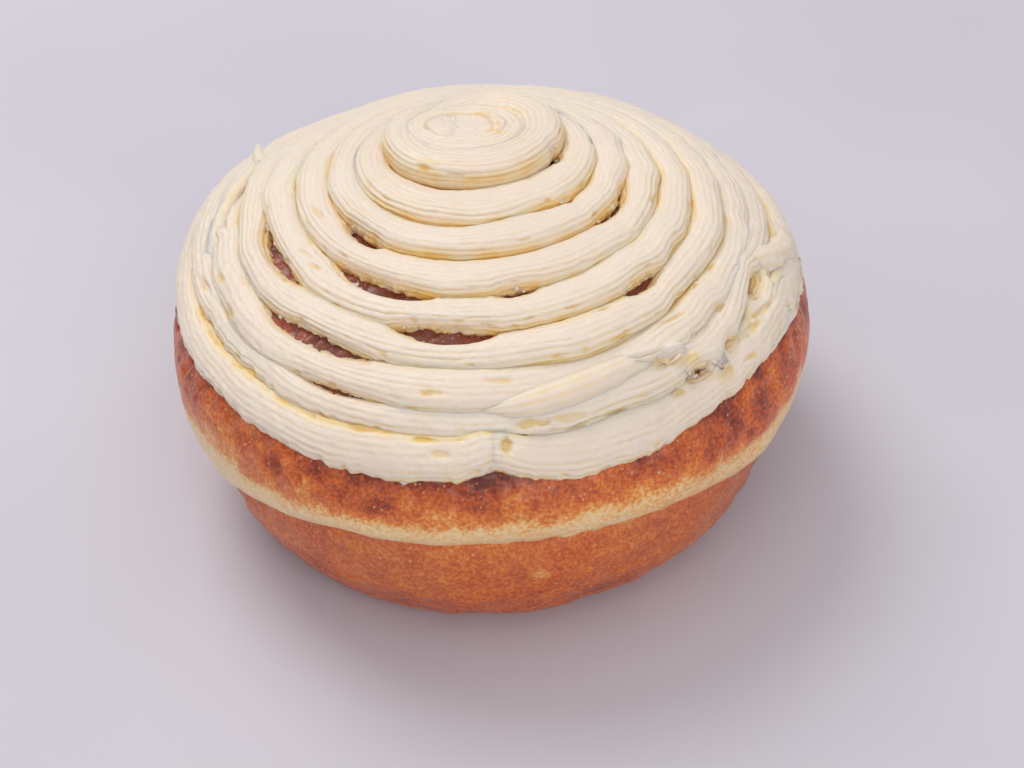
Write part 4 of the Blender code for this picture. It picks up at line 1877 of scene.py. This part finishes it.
    def relief(self, points: np.ndarray, azimuth: np.ndarray, height: np.ndarray) -> np.ndarray:
        """How far the crust stands out of the turned form, in mm.

        Args:
            points: Points of the smooth form in mm.
            azimuth: Directions round the bun in radians.
            height: Heights in mm.

        Returns:
            Distances in mm.
        """
        crease = self.crease_height - self.sink(azimuth)
        upper = ramp(height, self.crust_from, self.crust_to)
        lower = 1 - ramp(height - crease, -4.0, -0.5)
        band = (1 - upper) * (1 - lower)
        wrinkled = Grain(101).layered(points * [1.0, 1.0, 3.2], 9.0, 3)
        lumpy = Grain(102).layered(points, 6.5, 2)
        pebbled = Grain(104).layered(points, 2.2, 2)
        cells = np.abs(Grain(103).layered(points, 3.6, 2))
        crackled = ramp(cells, 0.02, 0.34) - 0.6
        crackle_zone = upper * (0.22 + 0.78 * self.zone(azimuth, 232.0, 36.0))
        near_crease = bell(height - crease, 1.4, 1.3) * self.zone(azimuth, 285.0, 26.0)
        torn_lip = np.clip(Grain(105).layered(points * [1.0, 1.0, 2.0], 2.2, 2) - 0.1, 0.0, 1.0)
        fold = np.sin(np.clip((height - 34.0) / 9.0, 0.0, 1.0) * np.pi) * self.zone(azimuth, 322.0, 22.0)
        return (
            0.40 * wrinkled * lower
            + 0.62 * lumpy * (0.45 + 0.55 * upper)
            + 0.36 * pebbled * (1 - 0.7 * band)
            + 0.95 * crackled * crackle_zone
            + 0.9 * torn_lip * near_crease
            + 0.7 * fold * (1 + 0.5 * lumpy)
            + self.bubble(azimuth, height)[0]
        )

    def browning(self, points: np.ndarray, azimuth: np.ndarray, height: np.ndarray) -> np.ndarray:
        """How dark the crust is baked, from 0, the pale waist, to 1, with painted shadow under the
        frosting's edge and under the swirl, and painted light on the left side.

        Args:
            points: Points of the smooth form in mm.
            azimuth: Directions round the bun in radians.
            height: Heights in mm.

        Returns:
            One share for each point.
        """
        cloud = Grain(111).layered(points, 13.0, 3)
        patch = Grain(112).layered(points, 4.5, 3)
        streak = Grain(113).layered(points * [1.0, 1.0, 4.5], 9.0, 3)
        edge = Grain(114).layered(points * [1.0, 1.0, 0.2], 7.0, 3)
        gold = self.zone(azimuth, 298.0, 17.0)
        # Painted light: the crust is paler on the left, where more light falls on it.
        left = self.zone(azimuth, 205.0, 46.0)
        crease = self.crease_height - self.sink(azimuth)
        above = height - (crease + 0.9 + 0.25 * edge)
        band_top = self.pale_top + 3.0 * self.zone(azimuth, 250.0, 26.0)
        band_top = band_top + 4.2 * self.zone(azimuth, 294.0, 22.0)
        band_top = band_top - 5.5 * self.zone(azimuth, 90.0, 50.0)
        # Darker zone under the frosting's edge: partly browner crust, partly painted shadow of the
        # frosting.
        rim = self.dark_from + 2.5 * self.zone(azimuth, 295.0, 40.0)
        rim = rim - 2.5 * self.zone(azimuth, 210.0, 25.0)
        level = height + 1.1 * edge + 0.7 * patch
        baked = ramp(level, band_top - 1.4, band_top + 2.9)
        upper = (
            0.04
            + 0.10 * self.zone(azimuth, 308.0, 24.0)
            + 0.05 * ramp(level, band_top - 4.5, band_top - 1.0)
            + 0.41 * baked * (1 - 0.24 * gold)
            + 0.13 * ramp(level, band_top + 2.0, band_top + 6.0)
            - 0.08 * left * ramp(level, 36.0, 40.0)
            + (0.26 - 0.10 * left) * ramp(level, rim - 4.0, rim + 1.0)
        )
        upper = upper + (0.17 * cloud + 0.27 * patch) * baked
        lower = 0.45 + 0.09 * ramp(-above, 0.0, 5.0) + 0.08 * ramp(-above, 12.0, 24.0)
        lower = lower + 0.08 * cloud + 0.12 * streak + 0.06 * patch
        shown = np.where(above > 0, upper, lower) - self.bubble(azimuth, height)[1]
        # Painted shade: darker where the crust lies under the swirl and shows in the slits.
        return np.clip(shown + 0.2 * self.covered(height), 0.0, 1.0)

    def dullness(self, points: np.ndarray, azimuth: np.ndarray, height: np.ndarray) -> np.ndarray:
        """Where the crust is a duller, pinker brown, from 0 to 1, with painted shade where it lies under
        the swirl.

        Args:
            points: Points of the smooth form in mm.
            azimuth: Directions round the bun in radians.
            height: Heights in mm.

        Returns:
            One share for each point.
        """
        crease = self.crease_height - self.sink(azimuth)
        lower = 1 - ramp(height - crease, -1.0, 1.0)
        cloud = Grain(115).layered(points, 9.0, 2)
        away = self.away(azimuth)
        right = ramp(away, 25.0, 75.0) * (1 - ramp(away, 150.0, 175.0))
        left = ramp(-away, 30.0, 70.0) * (1 - ramp(-away, 150.0, 175.0))
        patches = ramp(cloud, 0.15, 0.55) * ramp(height, 41.0, 43.5)
        dull = lower * (0.16 + 0.75 * right + 0.45 * left + 0.25 * cloud)
        # Painted shade under the swirl, seen in the slits.
        return np.clip(dull + 0.16 * patches + 0.45 * self.covered(height), 0.0, 1.0)

    def build(self) -> bpy.types.Object:
        """Makes the bun and dresses it.

        Returns:
            The piece, which stands for the CAD node.
        """
        line = self.profile()
        along_line = np.gradient(line, axis=0)
        outward = np.stack([along_line[:, 1], -along_line[:, 0]], -1)
        outward /= np.linalg.norm(outward, axis=1, keepdims=True)
        azimuth = np.linspace(0, 2 * np.pi, self.columns, endpoint=False)[None, :]
        turned = np.stack([np.cos(azimuth), np.sin(azimuth)], -1)
        radius = line[:, :1] * np.ones_like(azimuth)
        height = line[:, 1:] * np.ones_like(azimuth)
        round_crease = np.stack([60 * np.cos(azimuth[0]), 60 * np.sin(azimuth[0]), 0 * azimuth[0]], -1)
        sway = 0.5 * Grain(121).layered(round_crease, 12.0, 3)
        near_crease = bell(height, self.crease_height, 9.0)
        tucked = self.side(azimuth) * (1 - ramp(height, self.tuck_from, self.tuck_to))
        radius = radius - self.side_tuck * tucked
        height = height + (sway[None, :] - self.sink(azimuth)) * near_crease
        grow = 1 + self.lumps(azimuth, height)
        smooth = np.concatenate([turned * (radius * grow)[..., None], height[..., None]], -1)
        relief = self.relief(smooth, azimuth, height)
        relief = relief + self.under_swirl * ramp(height, 53.5, 58.0)
        standing = ramp(height, 0.0, 2.5)
        ragged_foot = 1.1 * Grain(122).layered(smooth, 5.0, 3) * (1 - ramp(height, 1.0, 6.0))
        push = relief * standing + ragged_foot
        points = smooth.copy()
        points[..., :2] += turned * (outward[:, :1] * push)[..., None]
        points[..., 2] += outward[:, 1:].repeat(self.columns, 1) * relief * standing
        points[..., 2] = np.maximum(points[..., 2], 0.0)
        marks = {
            "baked": self.browning(smooth, azimuth, height).reshape(-1),
            "dull": self.dullness(smooth, azimuth, height).reshape(-1),
        }
        flat = points.reshape(-1, 3)
        quads, caps = closed_tube(flat, self.columns)
        piece = mesh_piece("bun_crust", flat, quads, marks, caps)
        piece.data.materials.append(self.finish.material())
        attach(piece, BODY)
        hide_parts("bun")
        return piece


@dataclass(frozen=True)
class Lamp:
    """A soft rectangular light that points at the roll."""

    name: str
    azimuth: float
    elevation: float
    distance: float
    width: float
    power: float
    colour: tuple[float, float, float] = (1.0, 1.0, 1.0)

    def build(self) -> None:
        """Hangs the light in the scene."""
        held = bpy.data.lights.new(self.name, "AREA")
        held.shape = "DISK"
        held.size = self.width
        held.energy = self.power
        held.color = self.colour
        carrier = bpy.data.objects.new(self.name, held)
        azimuth, elevation = math.radians(self.azimuth), math.radians(self.elevation)
        direction = Vector(
            (
                math.cos(elevation) * math.sin(azimuth),
                -math.cos(elevation) * math.cos(azimuth),
                math.sin(elevation),
            )
        )
        carrier.location = direction * self.distance + Vector((0.0, 0.0, 0.04))
        carrier.rotation_euler = direction.to_track_quat("Z", "Y").to_euler()
        bpy.context.scene.collection.objects.link(carrier)


@dataclass
class Studio:
    """Pale floor, soft light and the camera at the photograph's viewing angle."""

    lens: float = 67.2
    elevation: float = 41.0
    roll: float = -2.97
    distance: float = 400.7
    target: tuple[float, float, float] = (3.8, -15.9, 30.0)
    floor_size: float = 6.0
    lamps: tuple[Lamp, ...] = (
        Lamp("window", -145.0, 56.0, 1.2, 0.7, 6.6, (1.0, 0.985, 0.97)),
        Lamp("ceiling", 60.0, 82.0, 1.3, 1.0, 1.6, (0.98, 0.99, 1.0)),
        Lamp("front", 20.0, 30.0, 1.3, 0.9, 4.5, (1.0, 0.98, 0.96)),
    )
    sky: tuple[float, float, float] = (0.96, 0.97, 1.0)
    sky_strength: float = 0.44
    finish: FloorFinish = field(default_factory=FloorFinish)

    def build(self) -> None:
        """Sets the floor, the lights and the camera."""
        self.floor()
        for lamp in self.lamps:
            lamp.build()
        world = bpy.data.worlds.new("studio")
        world.use_nodes = True
        background = world.node_tree.nodes["Background"]
        background.inputs["Color"].default_value = (*self.sky, 1.0)
        background.inputs["Strength"].default_value = self.sky_strength
        bpy.context.scene.world = world
        bpy.context.scene.view_settings.view_transform = "Standard"
        self.camera()

    def floor(self) -> None:
        """Lays the floor that the roll stands on."""
        half = self.floor_size / 2
        mesh = bpy.data.meshes.new("floor")
        mesh.from_pydata(
            [(-half, -half, 0.0), (half, -half, 0.0), (half, half, 0.0), (-half, half, 0.0)],
            [],
            [(0, 1, 2, 3)],
        )
        mesh.materials.append(self.finish.material())
        piece = bpy.data.objects.new("floor", mesh)
        bpy.context.scene.collection.objects.link(piece)

    def camera(self) -> None:
        """Puts the camera where the photograph was taken from."""
        tilt, roll = math.radians(self.elevation), math.radians(self.roll)
        forward = Vector((0.0, math.cos(tilt), -math.sin(tilt)))
        level = Vector((1.0, 0.0, 0.0))
        upright = Vector((0.0, math.sin(tilt), math.cos(tilt)))
        right = level * math.cos(roll) + upright * math.sin(roll)
        up = upright * math.cos(roll) - level * math.sin(roll)
        held = bpy.data.cameras.new("camera")
        held.lens = self.lens
        held.sensor_width = 36.0
        held.clip_start = 0.01
        carrier = bpy.data.objects.new("camera", held)
        place = (Vector(self.target) - forward * self.distance) * MM
        turn = Matrix((right, up, -forward)).transposed()
        carrier.matrix_world = Matrix.Translation(place) @ turn.to_4x4()
        bpy.context.scene.collection.objects.link(carrier)
        bpy.context.scene.camera = carrier


def main() -> None:
    """Builds the bun, the frosting and the studio, and reports each piece."""
    logging.basicConfig(level=logging.INFO, format="%(message)s")
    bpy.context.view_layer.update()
    bun = Bun().build()
    LOG.info("%s: %d faces", bun.name, len(bun.data.polygons))
    for piece in Frosting().build():
        LOG.info("%s: %d faces", piece.name, len(piece.data.polygons))
    Studio().build()


if __name__ == "__main__":
    main()
